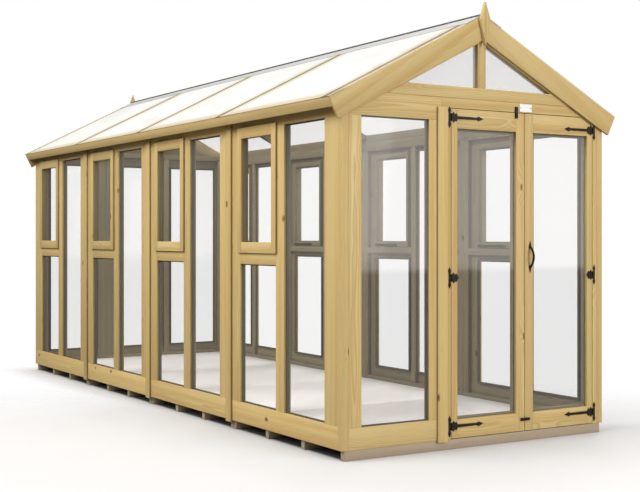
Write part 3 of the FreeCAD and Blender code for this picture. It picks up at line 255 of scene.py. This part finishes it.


# %% [markdown]
# ## Grain that follows each board
# Grain runs along a board whichever way the board is fixed. For every board the longest direction is
# found from its corners, and each corner stores its distance along the board and across it. The numbers
# are shifted by a chance amount, so no two boards show the same stretch of wood, and a chance tone makes
# some boards a little paler or redder than their neighbours. The chance is seeded to stay the same. A
# third number says how far a corner lies behind the outer faces, because timber behind them is painted
# darker and greyer, a painted shade for the shade that falls there.

# %% Store the grain
def loose_shells(mesh):
    """Lists the corner numbers of every separate board in a mesh."""
    leader = list(range(len(mesh.vertices)))

    def find(corner):
        while leader[corner] != corner:
            leader[corner] = leader[leader[corner]]
            corner = leader[corner]
        return corner

    for edge in mesh.edges:
        leader[find(edge.vertices[0])] = find(edge.vertices[1])
    shells = {}
    for corner in range(len(mesh.vertices)):
        shells.setdefault(find(corner), []).append(corner)
    return list(shells.values())


def board_axes(points):
    """Gives a board's long direction and two directions across it."""
    far = max(points, key=lambda point: (point - points[0]).length_squared)
    near = max(points, key=lambda point: (point - far).length_squared)
    along = (far - near).normalized()
    length = max(along.dot(point) for point in points) - min(along.dot(point) for point in points)
    for straight in (Vector((1, 0, 0)), Vector((0, 1, 0)), Vector((0, 0, 1))):
        if abs(along.dot(straight)) > 0.93 and length > 0:
            along = straight
    side = Vector((0, 0, 1)) if abs(along.z) < 0.7 else Vector((0, 1, 0))
    across = along.cross(side).normalized()
    return along, across, along.cross(across)


HALF_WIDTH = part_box("right_wall_frame")[1][0]
HALF_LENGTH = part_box("back_wall_frame")[1][1]
RIDGE_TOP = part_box("barge_boards")[1][2]
ROOF_SLOPE = math.tan(math.radians(27.0))
SHADE_DEPTH = 0.016


def shelter(point, half_width, half_length, depth):
    """Tells how far behind the outer faces a point lies, from 0 to 1, as its share of painted shade."""
    inside = min(half_width - abs(point.x), half_length - abs(point.y))
    return min(1.0, max(0.0, inside / depth))


def store_grain(piece, chance, outer, fixed_shade):
    """Writes the distance along and across each board, its tone and its share of painted shade onto the corners."""
    mesh = piece.data
    mesh.attributes.new("grain", "FLOAT_VECTOR", "POINT")
    mesh.attributes.new("tone", "FLOAT", "POINT")
    mesh.attributes.new("painted_shade", "FLOAT", "POINT")
    grain = mesh.attributes["grain"]
    tone = mesh.attributes["tone"]
    painted_shade = mesh.attributes["painted_shade"]
    half_width = max(outer[0], max(abs(corner.co.x) for corner in mesh.vertices))
    half_length = max(outer[1], max(abs(corner.co.y) for corner in mesh.vertices))
    shells = loose_shells(mesh)
    for shell in shells:
        points = [mesh.vertices[corner].co for corner in shell]
        middle = sum(points, Vector()) / len(points)
        along, across, through = board_axes(points)
        start = chance.uniform(0.0, 30.0)
        heart = chance.uniform(0.03, 0.11)
        turn = chance.uniform(0.0, math.tau)
        shade = chance.random()
        for corner in shell:
            away = mesh.vertices[corner].co - middle
            grain.data[corner].vector = (start + away.dot(along), away.dot(across) + heart * math.cos(turn),
                                         away.dot(through) + heart * math.sin(turn))
            tone.data[corner].value = shade
            spot = mesh.vertices[corner].co
            shade_share = shelter(spot, half_width, half_length, outer[2])
            # the stored share is painted shade: it darkens timber behind the outer faces, or a whole piece by one given
            # share
            painted_shade.data[corner].value = shade_share if fixed_shade is None else fixed_shade
    return len(shells)


# %% [markdown]
# ## Pine grain as a shared effect
# Pine shows pale early wood and thin darker late wood in rings round the heart of the tree, broad
# streaks of colour, fine fibres and knots where branches grew. One node group works all of these out
# from the stored grain numbers and puts out masks. Each timber finish then mixes its own colours with
# those masks, so the planed frame, the sawn bearers and the floor share one kind of wood.

# %% Pine grain group
KNOT_SHARE = 0.60
pine = bpy.data.node_groups.new("pine_grain", "ShaderNodeTree")
for label, kind in (("Grain", "NodeSocketVector"), ("Ring Width", "NodeSocketFloat"), ("Knot Size", "NodeSocketFloat")):
    pine.interface.new_socket(name=label, in_out="INPUT", socket_type=kind)
for label in ("Rings", "Streaks", "Fibres", "Knots"):
    pine.interface.new_socket(name=label, in_out="OUTPUT", socket_type="NodeSocketFloat")
given = shader_node(pine, "NodeGroupInput")
shown = shader_node(pine, "NodeGroupOutput")

slow = shader_node(pine, "ShaderNodeVectorMath", {0: given.outputs["Grain"], 1: (0.9, 7.0, 7.0)}, operation="MULTIPLY")
drift = shader_node(pine, "ShaderNodeTexNoise", {"Vector": slow.outputs[0], "Scale": 1.0, "Detail": 2.0})
level = shader_node(pine, "ShaderNodeVectorMath", {0: drift.outputs["Color"], 1: (0.5, 0.5, 0.5)}, operation="SUBTRACT")
amount = shader_node(pine, "ShaderNodeVectorMath", {0: level.outputs[0], 1: (0.0, 0.03, 0.03)}, operation="MULTIPLY")
wander = shader_node(pine, "ShaderNodeVectorMath", {0: given.outputs["Grain"], 1: amount.outputs[0]}, operation="ADD")

knot_space = shader_node(pine, "ShaderNodeVectorMath", {0: wander.outputs[0], 1: (3.6, 12.0, 5.5)}, operation="MULTIPLY")
branches = shader_node(pine, "ShaderNodeTexVoronoi", {"Vector": knot_space.outputs[0], "Scale": 1.0})
knot_core = shader_node(pine, "ShaderNodeMapRange", {"Value": branches.outputs["Distance"], "From Min": 0.05,
                                                     "From Max": given.outputs["Knot Size"], "To Min": 1.0,
                                                     "To Max": 0.0}, interpolation_type="SMOOTHSTEP")
picked = shader_node(pine, "ShaderNodeSeparateColor", {"Color": branches.outputs["Color"]})
rare = shader_node(pine, "ShaderNodeMath", {0: picked.outputs["Red"], 1: KNOT_SHARE}, operation="LESS_THAN")
knot = shader_node(pine, "ShaderNodeMath", {0: knot_core.outputs["Result"], 1: rare.outputs[0]}, operation="MULTIPLY")
swell = shader_node(pine, "ShaderNodeMapRange", {"Value": branches.outputs["Distance"], "From Min": 0.0,
                                                 "From Max": 0.55, "To Min": 0.012, "To Max": 0.0},
                    interpolation_type="SMOOTHSTEP")
border = shader_node(pine, "ShaderNodeTexVoronoi", {"Vector": knot_space.outputs[0], "Scale": 1.0}, feature="DISTANCE_TO_EDGE")
inner = ranged(pine, border.outputs["Distance"], 0.0, 0.20, 0.0, 1.0, "SMOOTHSTEP")
ringed = shader_node(pine, "ShaderNodeMath", {0: rare.outputs[0], 1: inner}, operation="MULTIPLY")
halo = shader_node(pine, "ShaderNodeMath", {0: swell.outputs["Result"], 1: ringed.outputs[0]}, operation="MULTIPLY")

parts = shader_node(pine, "ShaderNodeSeparateXYZ", {0: wander.outputs[0]})
section = shader_node(pine, "ShaderNodeCombineXYZ", {"Y": parts.outputs["Y"], "Z": parts.outputs["Z"]})
radius = shader_node(pine, "ShaderNodeVectorMath", {0: section.outputs[0]}, operation="LENGTH")
pushed = shader_node(pine, "ShaderNodeMath", {0: radius.outputs["Value"], 1: halo.outputs[0]}, operation="ADD")
count = shader_node(pine, "ShaderNodeMath", {0: pushed.outputs[0], 1: given.outputs["Ring Width"]}, operation="DIVIDE")
within = shader_node(pine, "ShaderNodeMath", {0: count.outputs[0]}, operation="FRACT")
late = shader_node(pine, "ShaderNodeValToRGB", {"Fac": within.outputs[0]})
late.color_ramp.elements[0].position = 0.30
late.color_ramp.elements[0].color = (0.0, 0.0, 0.0, 1.0)
late.color_ramp.elements[1].position = 0.86
late.color_ramp.elements[1].color = (1.0, 1.0, 1.0, 1.0)
ending = late.color_ramp.elements.new(1.0)
ending.color = (0.05, 0.05, 0.05, 1.0)

broad = shader_node(pine, "ShaderNodeVectorMath", {0: wander.outputs[0], 1: (0.55, 26.0, 26.0)}, operation="MULTIPLY")
streaks = shader_node(pine, "ShaderNodeTexNoise", {"Vector": broad.outputs[0], "Scale": 1.0, "Detail": 3.0})
fine = shader_node(pine, "ShaderNodeVectorMath", {0: wander.outputs[0], 1: (9.0, 420.0, 420.0)}, operation="MULTIPLY")
fibres = shader_node(pine, "ShaderNodeTexNoise", {"Vector": fine.outputs[0], "Scale": 1.0, "Detail": 2.0})
pine.links.new(late.outputs["Color"], shown.inputs["Rings"])
pine.links.new(streaks.outputs["Fac"], shown.inputs["Streaks"])
pine.links.new(fibres.outputs["Fac"], shown.inputs["Fibres"])
pine.links.new(knot.outputs[0], shown.inputs["Knots"])
print("pine grain group has", len(pine.nodes), "nodes")

# %% [markdown]
# ## Timber finishes
# The frame is pressure treated pine, planed smooth: honey yellow with a hint of olive, and orange
# where the late wood is dense. The fascias are painted paler, a painted light where the boards tilt down away from the
# sky, the beads lie in deep rebates and are painted much darker there as shade, the bearers under the floor are sawn
# and greyer, and the floor is a pale sheet. All read the same masks, and each finish is multiplied by its own shade
# colour where the stored painted shade lies. The late wood stands up a little after treatment, so the rings and fibres
# also give a slight bump.

# %% Mix a timber finish
DAYLIGHT_REACH = 0.16


def lit_ends(tree, shade_share):
    """Lifts the painted shade of a bearer near its ends, where daylight still falls on its sides."""
    place = shader_node(tree, "ShaderNodeTexCoord").outputs["Object"]
    spot = shader_node(tree, "ShaderNodeSeparateXYZ", {0: place})
    from_middle = shader_node(tree, "ShaderNodeMath", {0: spot.outputs["X"]}, operation="ABSOLUTE")
    deep = ranged(tree, from_middle.outputs[0], JOIST_END - DAYLIGHT_REACH, JOIST_END, 1.0, 0.0)
    return shader_node(tree, "ShaderNodeMath", {0: shade_share, 1: deep}, operation="MULTIPLY").outputs[0]


def timber_finish(name, early, late_wood, warm, knot, ring_width, ring_strength, bump, shade_colour, bearer=False):
    """Makes one timber material from the shared grain masks, darkened by the stored painted shade."""
    material, tree, surface = new_material(name)
    stored = shader_node(tree, "ShaderNodeAttribute", attribute_name="grain")
    toned = shader_node(tree, "ShaderNodeAttribute", attribute_name="tone")
    wood = shader_node(tree, "ShaderNodeGroup", node_tree=pine)
    tree.links.new(stored.outputs["Vector"], wood.inputs["Grain"])
    wood.inputs["Ring Width"].default_value = ring_width
    wood.inputs["Knot Size"].default_value = 0.095
    rings = ranged(tree, wood.outputs["Rings"], 0.0, 1.0, 0.0, ring_strength)
    colour = mixed(tree, rings, early, late_wood)
    streak = ranged(tree, wood.outputs["Streaks"], 0.42, 0.70, 0.0, 0.75)
    colour = mixed(tree, streak, colour, warm)
    shade = ranged(tree, toned.outputs["Fac"], 0.0, 1.0, 0.90, 1.08)
    toning = shader_node(tree, "ShaderNodeHueSaturation", {"Color": colour, "Value": shade})
    fibre = ranged(tree, wood.outputs["Fibres"], 0.3, 0.7, 0.94, 1.05)
    fibred = shader_node(tree, "ShaderNodeHueSaturation", {"Color": toning.outputs["Color"], "Value": fibre})
    colour = mixed(tree, wood.outputs["Knots"], fibred.outputs["Color"], knot)
    inside = shader_node(tree, "ShaderNodeAttribute", attribute_name="painted_shade")
    shade_share = lit_ends(tree, inside.outputs["Fac"]) if bearer else inside.outputs["Fac"]
    # painted shade: the colour is multiplied towards the shade colour by the stored share
    colour = mixed(tree, shade_share, colour, shade_colour, "MULTIPLY")
    tree.links.new(colour, surface.inputs["Base Color"])
    tree.links.new(ranged(tree, wood.outputs["Streaks"], 0.3, 0.7, 0.52, 0.68), surface.inputs["Roughness"])
    relief = shader_node(tree, "ShaderNodeMath", {0: wood.outputs["Rings"], 1: wood.outputs["Fibres"]}, operation="ADD")
    raised = shader_node(tree, "ShaderNodeBump", {"Height": relief.outputs[0], "Strength": bump, "Distance": 0.0004})
    tree.links.new(raised.outputs["Normal"], surface.inputs["Normal"])
    surface.inputs["Specular IOR Level"].default_value = 0.3
    return material


# the last colour of each finish is its painted shade colour: the frame greys behind its outer faces, beads and bearers
# go much darker
planed_pine = timber_finish("planed_pine", (0.585, 0.44, 0.188), (0.42, 0.275, 0.094), (0.475, 0.30, 0.102),
                            (0.22, 0.105, 0.036), 0.0052, 0.72, 0.25, (0.385, 0.445, 0.60))
bead_pine = timber_finish("bead_pine", (0.585, 0.44, 0.188), (0.42, 0.275, 0.094), (0.475, 0.30, 0.102),
                          (0.22, 0.105, 0.036), 0.0052, 0.72, 0.25, (0.15, 0.17, 0.21))
# painted light: a paler copy of the frame pine for the fascias, which tilt down away from the light from above
fascia_painted_paler = timber_finish("fascia_painted_paler", (0.75, 0.57, 0.26), (0.54, 0.36, 0.13), (0.61, 0.395, 0.145),
                            (0.28, 0.14, 0.05), 0.0052, 0.72, 0.25, (0.385, 0.445, 0.60))
sawn_bearer = timber_finish("sawn_bearer", (0.38, 0.30, 0.205), (0.28, 0.21, 0.14), (0.33, 0.25, 0.165),
                            (0.14, 0.09, 0.05), 0.0042, 0.5, 0.6, (0.10, 0.09, 0.085), True)
floor_sheet = timber_finish("floor_sheet", (0.825, 0.79, 0.75), (0.755, 0.715, 0.67), (0.79, 0.745, 0.695),
                            (0.745, 0.70, 0.65), 0.0075, 0.5, 0.15, (0.98, 0.98, 0.98))
print("timber finishes:", planed_pine.name, bead_pine.name, fascia_painted_paler.name, sawn_bearer.name, floor_sheet.name)

# %% [markdown]
# ## Dress every timber piece
# Each timber piece of the frame is copied, parted into boards, eased, given its grain and finish, and
# set to move with the same body as the piece that it stands for. The door leaves and the sashes are
# done the same way as the walls, so all the joinery matches. The trim of the roof gets no painted shade
# at all, the rafters and the ridge board are painted wholly in shade, and a bearer is painted in shade except near its
# ends.

# %% Dress the timber
body_of = {node: body for body, nodes in frame["record"]["behaviour"]["bodies"].items() for node in nodes}
sash_names = [side + "_sash_" + str(bay) for side in ("right", "left") for bay in (1, 2, 3, 4)]
pine_nodes = ["corner_posts", "right_wall_frame", "left_wall_frame", "back_wall_frame", "front_panel_frame",
              "door_frame", "cover_battens", "gable_frames", "barge_boards", "finials", "rafters",
              "eaves_beams", "fascias", "ridge_board", "left_door_frame", "right_door_frame"]
pine_nodes += [sash + "_frame" for sash in sash_names]
# painted shade given to a whole piece: none on the roof trim, full on the rafters and the ridge board
whole_shade = {"fascias": 0.0, "barge_boards": 0.0, "finials": 0.0, "rafters": 1.0, "ridge_board": 1.0}
chance = random.Random(11)


def release(piece, body, node):
    """Lets a copy stand for its frame piece on the same body."""
    for key in list(piece.keys()):
        if key.startswith("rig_"):
            del piece[key]
    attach(piece, body)
    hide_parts(node)


def dress_timber(node, finish, outer=(HALF_WIDTH, HALF_LENGTH, SHADE_DEPTH)):
    """Replaces a timber piece of the frame by eased boards with grain."""
    piece = copy_node(node, node + "_boards")
    weld_boards(piece)
    ease_edges(piece, EASED_EDGE)
    boards = store_grain(piece, chance, outer, whole_shade.get(node))
    piece.data.materials.clear()
    piece.data.materials.append(finish)
    release(piece, body_of[node], node)
    return boards


# the fascias take the paler copy, a painted light
painted_paler = {"fascias": fascia_painted_paler}
boards = sum(dress_timber(node, painted_paler.get(node, planed_pine)) for node in pine_nodes)
boards += dress_timber("glazing_beads", bead_pine)
boards += dress_timber("floor_joists", sawn_bearer, (0.0, 0.0, EASED_EDGE / 2))
boards += dress_timber("floor_deck", floor_sheet)
print("boards dressed:", boards)

# %% [markdown]
# ## Panes
# The panes are thin clear sheets with a faint pale film painted on them, a painted reflection that softens what is
# behind them. True refraction would add nothing in a thin flat pane and would darken the room, so the pane is mostly
# see-through with this painted film, and a slight cloudiness keeps it from looking empty. The painted reflection on the
# front wall and doors is pale above hip height, where such a pane mirrors the sky, and dark below it,
# where it mirrors the ground. The small gable panes carry the palest painted reflection. Light on its way into the room
# is held back more than the eye is, because a pane mirrors most light that strikes it at a slant.

# %% Glass panes
def let_through(tree, film, held_back):
    """Gives the share of a sheet that the eye meets, and another share for light that passes."""
    seen = shader_node(tree, "ShaderNodeLightPath")
    return ranged(tree, seen.outputs["Is Camera Ray"], 0.0, 1.0, held_back, film)


def cloudy(tree, place, scale):
    """Gives a slow cloud over a sheet."""
    return shader_node(tree, "ShaderNodeTexNoise", {"Vector": place, "Scale": scale, "Detail": 4.0}).outputs["Fac"]


def pane_finish(name, low_reflection, high_reflection, share, held_back):
    """Makes a pane with one painted reflection below hip height, another above, and a little cloud."""
    material, tree, surface = new_material(name)
    place = shader_node(tree, "ShaderNodeTexCoord").outputs["Object"]
    height = shader_node(tree, "ShaderNodeSeparateXYZ", {0: place}).outputs["Z"]
    cloud = cloudy(tree, place, 1.7)
    film = ranged(tree, cloud, 0.3, 0.7, 0.94 * share, 1.06 * share)
    tree.links.new(let_through(tree, film, held_back), surface.inputs["Alpha"])
    tree.links.new(ranged(tree, cloud, 0.3, 0.7, 0.04, 0.07), surface.inputs["Roughness"])
    upper_reflection = ranged(tree, height, 0.95, 1.00, 0.0, 1.0, "SMOOTHSTEP")
    tree.links.new(mixed(tree, upper_reflection, low_reflection, high_reflection), surface.inputs["Base Color"])
    surface.inputs["IOR"].default_value = 1.49
    return material


def refinish(nodes, material):
    """Gives frame pieces a material in place of the plain one they came with."""
    for node in nodes:
        frame["nodes"][node].data.materials.clear()
        frame["nodes"][node].data.materials.append(material)


# painted reflection: each film colour stands in for the sky or the ground mirrored in the pane
side_glass = pane_finish("side_glass", (0.50, 0.48, 0.46), (0.62, 0.60, 0.58), 0.05, 0.09)
front_glass = pane_finish("front_glass", (0.26, 0.25, 0.255), (0.84, 0.81, 0.80), 0.105, 0.09)
gable_glass = pane_finish("gable_glass", (0.74, 0.735, 0.73), (0.74, 0.735, 0.73), 0.28, 0.28)
side_panes = ["right_wall_panes", "left_wall_panes"] + [sash + "_pane" for sash in sash_names]
refinish(side_panes, side_glass)
refinish(["end_wall_panes", "left_door_pane", "right_door_pane"], front_glass)
refinish(["gable_panes"], gable_glass)
print("side panes glazed:", len(side_panes))

# %% [markdown]
# ## Roof sheets
# The roof sheets are milky. Through such a sheet only what touches it can be made out, so the sheet
# is painted with a dark line over each rafter, the rafter seen through together with a painted shade on it, and with a
# painted cream glow beside it, light bounced off the timber, and the same glow along the fascia. The milk is in its
# upper skin: from inside the room the same sheet looks thin and bright. The joints repeat at one spacing from the
# middle of the roof, so a to-and-fro ramp along the roof gives the distance to the nearest one. Little light comes down
# through the strip over the eaves.

# %% Milky sheets
JOINT_SPACING = 1.219
MILKY_SHARE = 0.86
THIN_SHARE = 0.12
SHEET_MIDDLE = 0.002
# painted shade and painted light: a dark line for each rafter seen in shade, a cream glow for light bounced off timber
RAFTER_SHADE_TONE = (0.165, 0.14, 0.085)
PAINTED_GLOW = (0.56, 0.48, 0.33)
roof_glazing, tree, surface = new_material("roof_glazing")
place = shader_node(tree, "ShaderNodeTexCoord").outputs["Object"]
spot = shader_node(tree, "ShaderNodeSeparateXYZ", {0: place})
to_joint = shader_node(tree, "ShaderNodeMath", {0: spot.outputs["Y"], 1: JOINT_SPACING / 2}, operation="PINGPONG")
off_rafter = ranged(tree, to_joint.outputs[0], 0.024, 0.036, 0.0, 1.0, "SMOOTHSTEP")
off_glow = ranged(tree, to_joint.outputs[0], 0.03, 0.17, 0.0, 1.0, "SMOOTHSTEP")
from_ridge = shader_node(tree, "ShaderNodeMath", {0: spot.outputs["X"]}, operation="ABSOLUTE")
off_fascia = ranged(tree, from_ridge.outputs[0], 0.900, 0.985, 1.0, 0.0, "SMOOTHSTEP")
near_timber = shader_node(tree, "ShaderNodeMath", {0: off_glow, 1: off_fascia}, operation="MINIMUM").outputs[0]
drop = shader_node(tree, "ShaderNodeMath", {0: from_ridge.outputs[0], 1: ROOF_SLOPE, 2: spot.outputs["Z"]},
                   operation="MULTIPLY_ADD")
on_top = shader_node(tree, "ShaderNodeMath", {0: drop.outputs[0], 1: RIDGE_TOP + SHEET_MIDDLE}, operation="GREATER_THAN")
side = shader_node(tree, "ShaderNodeNewGeometry")
upper_skin = ranged(tree, side.outputs["Backfacing"], 0.0, 1.0, on_top.outputs[0], 0.0)
film = ranged(tree, upper_skin, 0.0, 1.0, THIN_SHARE, MILKY_SHARE)
over_eaves = ranged(tree, from_ridge.outputs[0], 0.89, 0.93, 0.06, 0.97)
tree.links.new(let_through(tree, film, over_eaves), surface.inputs["Alpha"])
cloud = cloudy(tree, place, 2.3)
white_sheet = mixed(tree, cloud, (0.675, 0.66, 0.63), (0.71, 0.695, 0.665))
warmed = mixed(tree, near_timber, PAINTED_GLOW, white_sheet)
tree.links.new(mixed(tree, off_rafter, RAFTER_SHADE_TONE, warmed), surface.inputs["Base Color"])
tree.links.new(ranged(tree, cloud, 0.3, 0.7, 0.35, 0.50), surface.inputs["Roughness"])
refinish(["roof_sheets"], roof_glazing)
print("sheet joints every", JOINT_SPACING, "m")

# %% [markdown]
# ## Ironwork and ridge
# Hinges, bolts, the pull handle and the stays are black painted iron with a slightly uneven skin. The
# ridge is folded metal. Both get a noise that changes roughness and gives a small bump.

# %% Metal finishes
def metal_finish(name, dark, pale, metallic, rough_low, rough_high, grain_scale, bump):
    """Makes a painted or bare metal with an uneven skin."""
    material, tree, surface = new_material(name)
    place = shader_node(tree, "ShaderNodeTexCoord")
    skin = shader_node(tree, "ShaderNodeTexNoise", {"Vector": place.outputs["Object"], "Scale": grain_scale, "Detail": 4.0})
    cloud = shader_node(tree, "ShaderNodeTexNoise", {"Vector": place.outputs["Object"], "Scale": 9.0, "Detail": 3.0})
    tree.links.new(mixed(tree, cloud.outputs["Fac"], dark, pale), surface.inputs["Base Color"])
    tree.links.new(ranged(tree, skin.outputs["Fac"], 0.3, 0.7, rough_low, rough_high), surface.inputs["Roughness"])
    raised = shader_node(tree, "ShaderNodeBump", {"Height": skin.outputs["Fac"], "Strength": bump, "Distance": 0.0006})
    tree.links.new(raised.outputs["Normal"], surface.inputs["Normal"])
    surface.inputs["Metallic"].default_value = metallic
    return material


black_iron = metal_finish("black_iron", (0.007, 0.0045, 0.0025), (0.017, 0.0115, 0.007), 0.0, 0.38, 0.62, 260.0, 0.35)
black_iron.node_tree.nodes["Principled BSDF"].inputs["Specular IOR Level"].default_value = 0.22
flashing_metal = metal_finish("flashing_metal", (0.36, 0.355, 0.34), (0.44, 0.435, 0.42), 0.1, 0.38, 0.55, 60.0, 0.08)
cap_metal = metal_finish("cap_metal", (0.022, 0.019, 0.016), (0.034, 0.029, 0.024), 0.0, 0.55, 0.70, 60.0, 0.08)
dull_brass = metal_finish("dull_brass", (0.30, 0.22, 0.10), (0.38, 0.29, 0.14), 0.2, 0.45, 0.62, 180.0, 0.15)
refinish(["sash_hinges"], dull_brass)
iron_nodes = ["door_hinge_plates", "bolt_keep", "left_door_ironwork", "right_door_ironwork",
              "door_handle", "head_bolt", "foot_bolt"] + [sash + "_stay" for sash in sash_names]
refinish(iron_nodes, black_iron)
print("iron pieces painted:", len(iron_nodes))

# %% [markdown]
# ## Ridge
# Two metal strips are folded over the ridge, a wide pale flashing and a narrow dark cap on top of it.
# They are one piece in the frame, so the piece is copied and parted, and the narrow strips are told
# from the wide ones by their reach from the middle of the roof.

# %% Ridge strips
CAP_REACH = 0.06
ridge = copy_node("ridge_cap", "ridge_strips")
weld_boards(ridge)
ease_edges(ridge, 0.0004)
ridge.data.materials.clear()
ridge.data.materials.append(flashing_metal)
ridge.data.materials.append(cap_metal)
narrow = set()
for strip in loose_shells(ridge.data):
    if max(abs(ridge.data.vertices[corner].co.x) for corner in strip) < CAP_REACH:
        narrow.update(strip)
for face in ridge.data.polygons:
    face.material_index = 1 if face.vertices[0] in narrow else 0
release(ridge, "house", "ridge_cap")
print("ridge corners on the dark cap:", len(narrow))

# %% [markdown]
# ## Screws
# Every strap and plate is held by small slotted screws. One screw head is turned from a cylinder: its
# face is inset and raised to a low dome, and a thin bar is taken out of it for the slot. The head is
# then copied to each hole, with its own mesh, and the copies for one leaf are joined.

# %% One screw head
SCREW_RADIUS = 0.0028
SCREW_HEAD = 0.0012


def choose_faces(piece, wanted):
    """Leaves edit mode on with only the faces that pass a test selected."""
    bpy.ops.object.mode_set(mode="EDIT")
    bpy.ops.mesh.select_mode(type="FACE")
    bpy.ops.mesh.select_all(action="DESELECT")
    bpy.ops.object.mode_set(mode="OBJECT")
    for face in piece.data.polygons:
        face.select = wanted(face)
    bpy.ops.object.mode_set(mode="EDIT")


bpy.ops.object.select_all(action="DESELECT")
bpy.ops.mesh.primitive_cube_add(size=1, location=(0, -SCREW_HEAD, 0), scale=(0.0008, SCREW_HEAD, 3 * SCREW_RADIUS),
                                rotation=(0, math.radians(35), 0))
slot_bar = bpy.context.object
bpy.ops.mesh.primitive_cylinder_add(vertices=16, radius=SCREW_RADIUS, depth=SCREW_HEAD,
                                    rotation=(math.radians(90), 0, 0))
screw_head = bpy.context.object
bpy.ops.object.transform_apply(location=True, rotation=True, scale=True)
choose_faces(screw_head, lambda face: face.normal.y < -0.9)
bpy.ops.mesh.inset(thickness=0.35 * SCREW_RADIUS, depth=0.3 * SCREW_HEAD)
bpy.ops.object.mode_set(mode="OBJECT")
taken = screw_head.modifiers.new("slot", "BOOLEAN")
taken.operation = "DIFFERENCE"
taken.object = slot_bar
bpy.ops.object.modifier_apply(modifier=taken.name)
bpy.ops.object.shade_smooth_by_angle(angle=math.radians(35))
bpy.data.objects.remove(slot_bar)
print("screw head faces:", len(screw_head.data.polygons))

# %% [markdown]
# ## Screws in their places
# The straps run from their pins: three screws in a long strap, two in the petals of a short one, and
# one near each tip of the plate on the other side of the pin. The tails of the pull handle take one
# screw each. Places are given from the pins, in metres, and turned over for the right leaf.

# %% Set the screws
DOOR_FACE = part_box("left_door_frame")[0][1]
STRAP_FACE = DOOR_FACE - 0.003
LEFT_PIN = -0.2095
RIGHT_PIN = 0.8375
LOW_HINGE = 0.124
MIDDLE_HINGE = 0.931
LEFT_TOP_HINGE = 1.804
RIGHT_TOP_HINGE = 1.780
HANDLE_SPOT = (0.3535, 1.040)
LONG_STRAP = [(0.0241, 0.0), (0.105, 0.0), (0.196, 0.0)]
SHORT_STRAP = [(0.0151, 0.014), (0.0151, -0.014)]
PLATE_TIPS = [(-0.0121, 0.040), (-0.0121, -0.040)]


def set_screws(name, places, face_y, body, metal):
    """Copies the screw head to every place and joins the copies into one piece."""
    copies = []
    for x, z in places:
        bpy.ops.object.select_all(action="DESELECT")
        screw_head.select_set(True)
        bpy.context.view_layer.objects.active = screw_head
        bpy.ops.object.duplicate()
        bpy.context.object.location = (x, face_y - SCREW_HEAD / 2, z)
        bpy.ops.object.transform_apply(location=True, rotation=True, scale=True)
        copies.append(bpy.context.object)
    for head in copies:
        head.select_set(True)
    bpy.ops.object.join()
    joined = bpy.context.object
    joined.name = name
    joined.data.materials.append(metal)
    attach(joined, body)
    return len(copies)


def hinge_places(pin, side, heights, spots):
    """Turns places given from a pin into places on the doors."""
    return [(pin + side * x, height + z) for height in heights for x, z in spots]


left_heights = [LOW_HINGE, LEFT_TOP_HINGE]
right_heights = [LOW_HINGE, RIGHT_TOP_HINGE]
left_places = hinge_places(LEFT_PIN, 1, left_heights, LONG_STRAP) + hinge_places(LEFT_PIN, 1, [MIDDLE_HINGE], SHORT_STRAP)
right_places = hinge_places(RIGHT_PIN, -1, right_heights, LONG_STRAP)
right_places += hinge_places(RIGHT_PIN, -1, [MIDDLE_HINGE], SHORT_STRAP)
right_places += [(HANDLE_SPOT[0], HANDLE_SPOT[1] + drop) for drop in (0.076, -0.076)]
plate_places = hinge_places(LEFT_PIN, 1, left_heights + [MIDDLE_HINGE], PLATE_TIPS)
plate_places += hinge_places(RIGHT_PIN, -1, right_heights + [MIDDLE_HINGE], PLATE_TIPS)
screws = set_screws("left_strap_screws", left_places, STRAP_FACE, "left_door", black_iron)
screws += set_screws("right_strap_screws", right_places, STRAP_FACE, "right_door", black_iron)
screws += set_screws("hinge_plate_screws", plate_places, STRAP_FACE, "house", black_iron)
print("screws set:", screws)

# %% [markdown]
# ## Plate over the doors
# A small white enamelled plate is screwed to the header beside the bolt. It is left blank. A block is
# given rounded edges, its face is inset and let in a little, and two screws hold it.

# %% White plate
PLATE_MIDDLE = (0.3195, 1.8825)
PLATE_SIZE = (0.089, 0.045)
PLATE_THICKNESS = 0.004
bpy.ops.object.select_all(action="DESELECT")
bpy.ops.mesh.primitive_cube_add(size=1, location=(PLATE_MIDDLE[0], DOOR_FACE - PLATE_THICKNESS / 2, PLATE_MIDDLE[1]),
                                scale=(PLATE_SIZE[0], PLATE_THICKNESS, PLATE_SIZE[1]))
plate = bpy.context.object
plate.name = "blank_header_plate"
bpy.ops.object.transform_apply(location=True, rotation=True, scale=True)
bpy.ops.object.mode_set(mode="EDIT")
bpy.ops.mesh.select_all(action="SELECT")
bpy.ops.mesh.bevel(offset=0.0012, segments=3)
choose_faces(plate, lambda face: face.normal.y < -0.99)
bpy.ops.mesh.inset(thickness=0.004, depth=0.0)
bpy.ops.mesh.inset(thickness=0.0008, depth=-0.0006)
bpy.ops.object.mode_set(mode="OBJECT")
bpy.ops.object.shade_smooth_by_angle(angle=math.radians(35))
white_enamel = metal_finish("white_enamel", (0.78, 0.77, 0.75), (0.86, 0.86, 0.85), 0.0, 0.25, 0.40, 90.0, 0.01)
plate.data.materials.append(white_enamel)
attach(plate, "house")
plate_screws = [(PLATE_MIDDLE[0] + side * 0.036, PLATE_MIDDLE[1]) for side in (-1, 1)]
set_screws("header_plate_screws", plate_screws, DOOR_FACE - PLATE_THICKNESS + 0.0006, "house", black_iron)
bpy.data.objects.remove(screw_head)
print("plate faces:", len(plate.data.polygons))
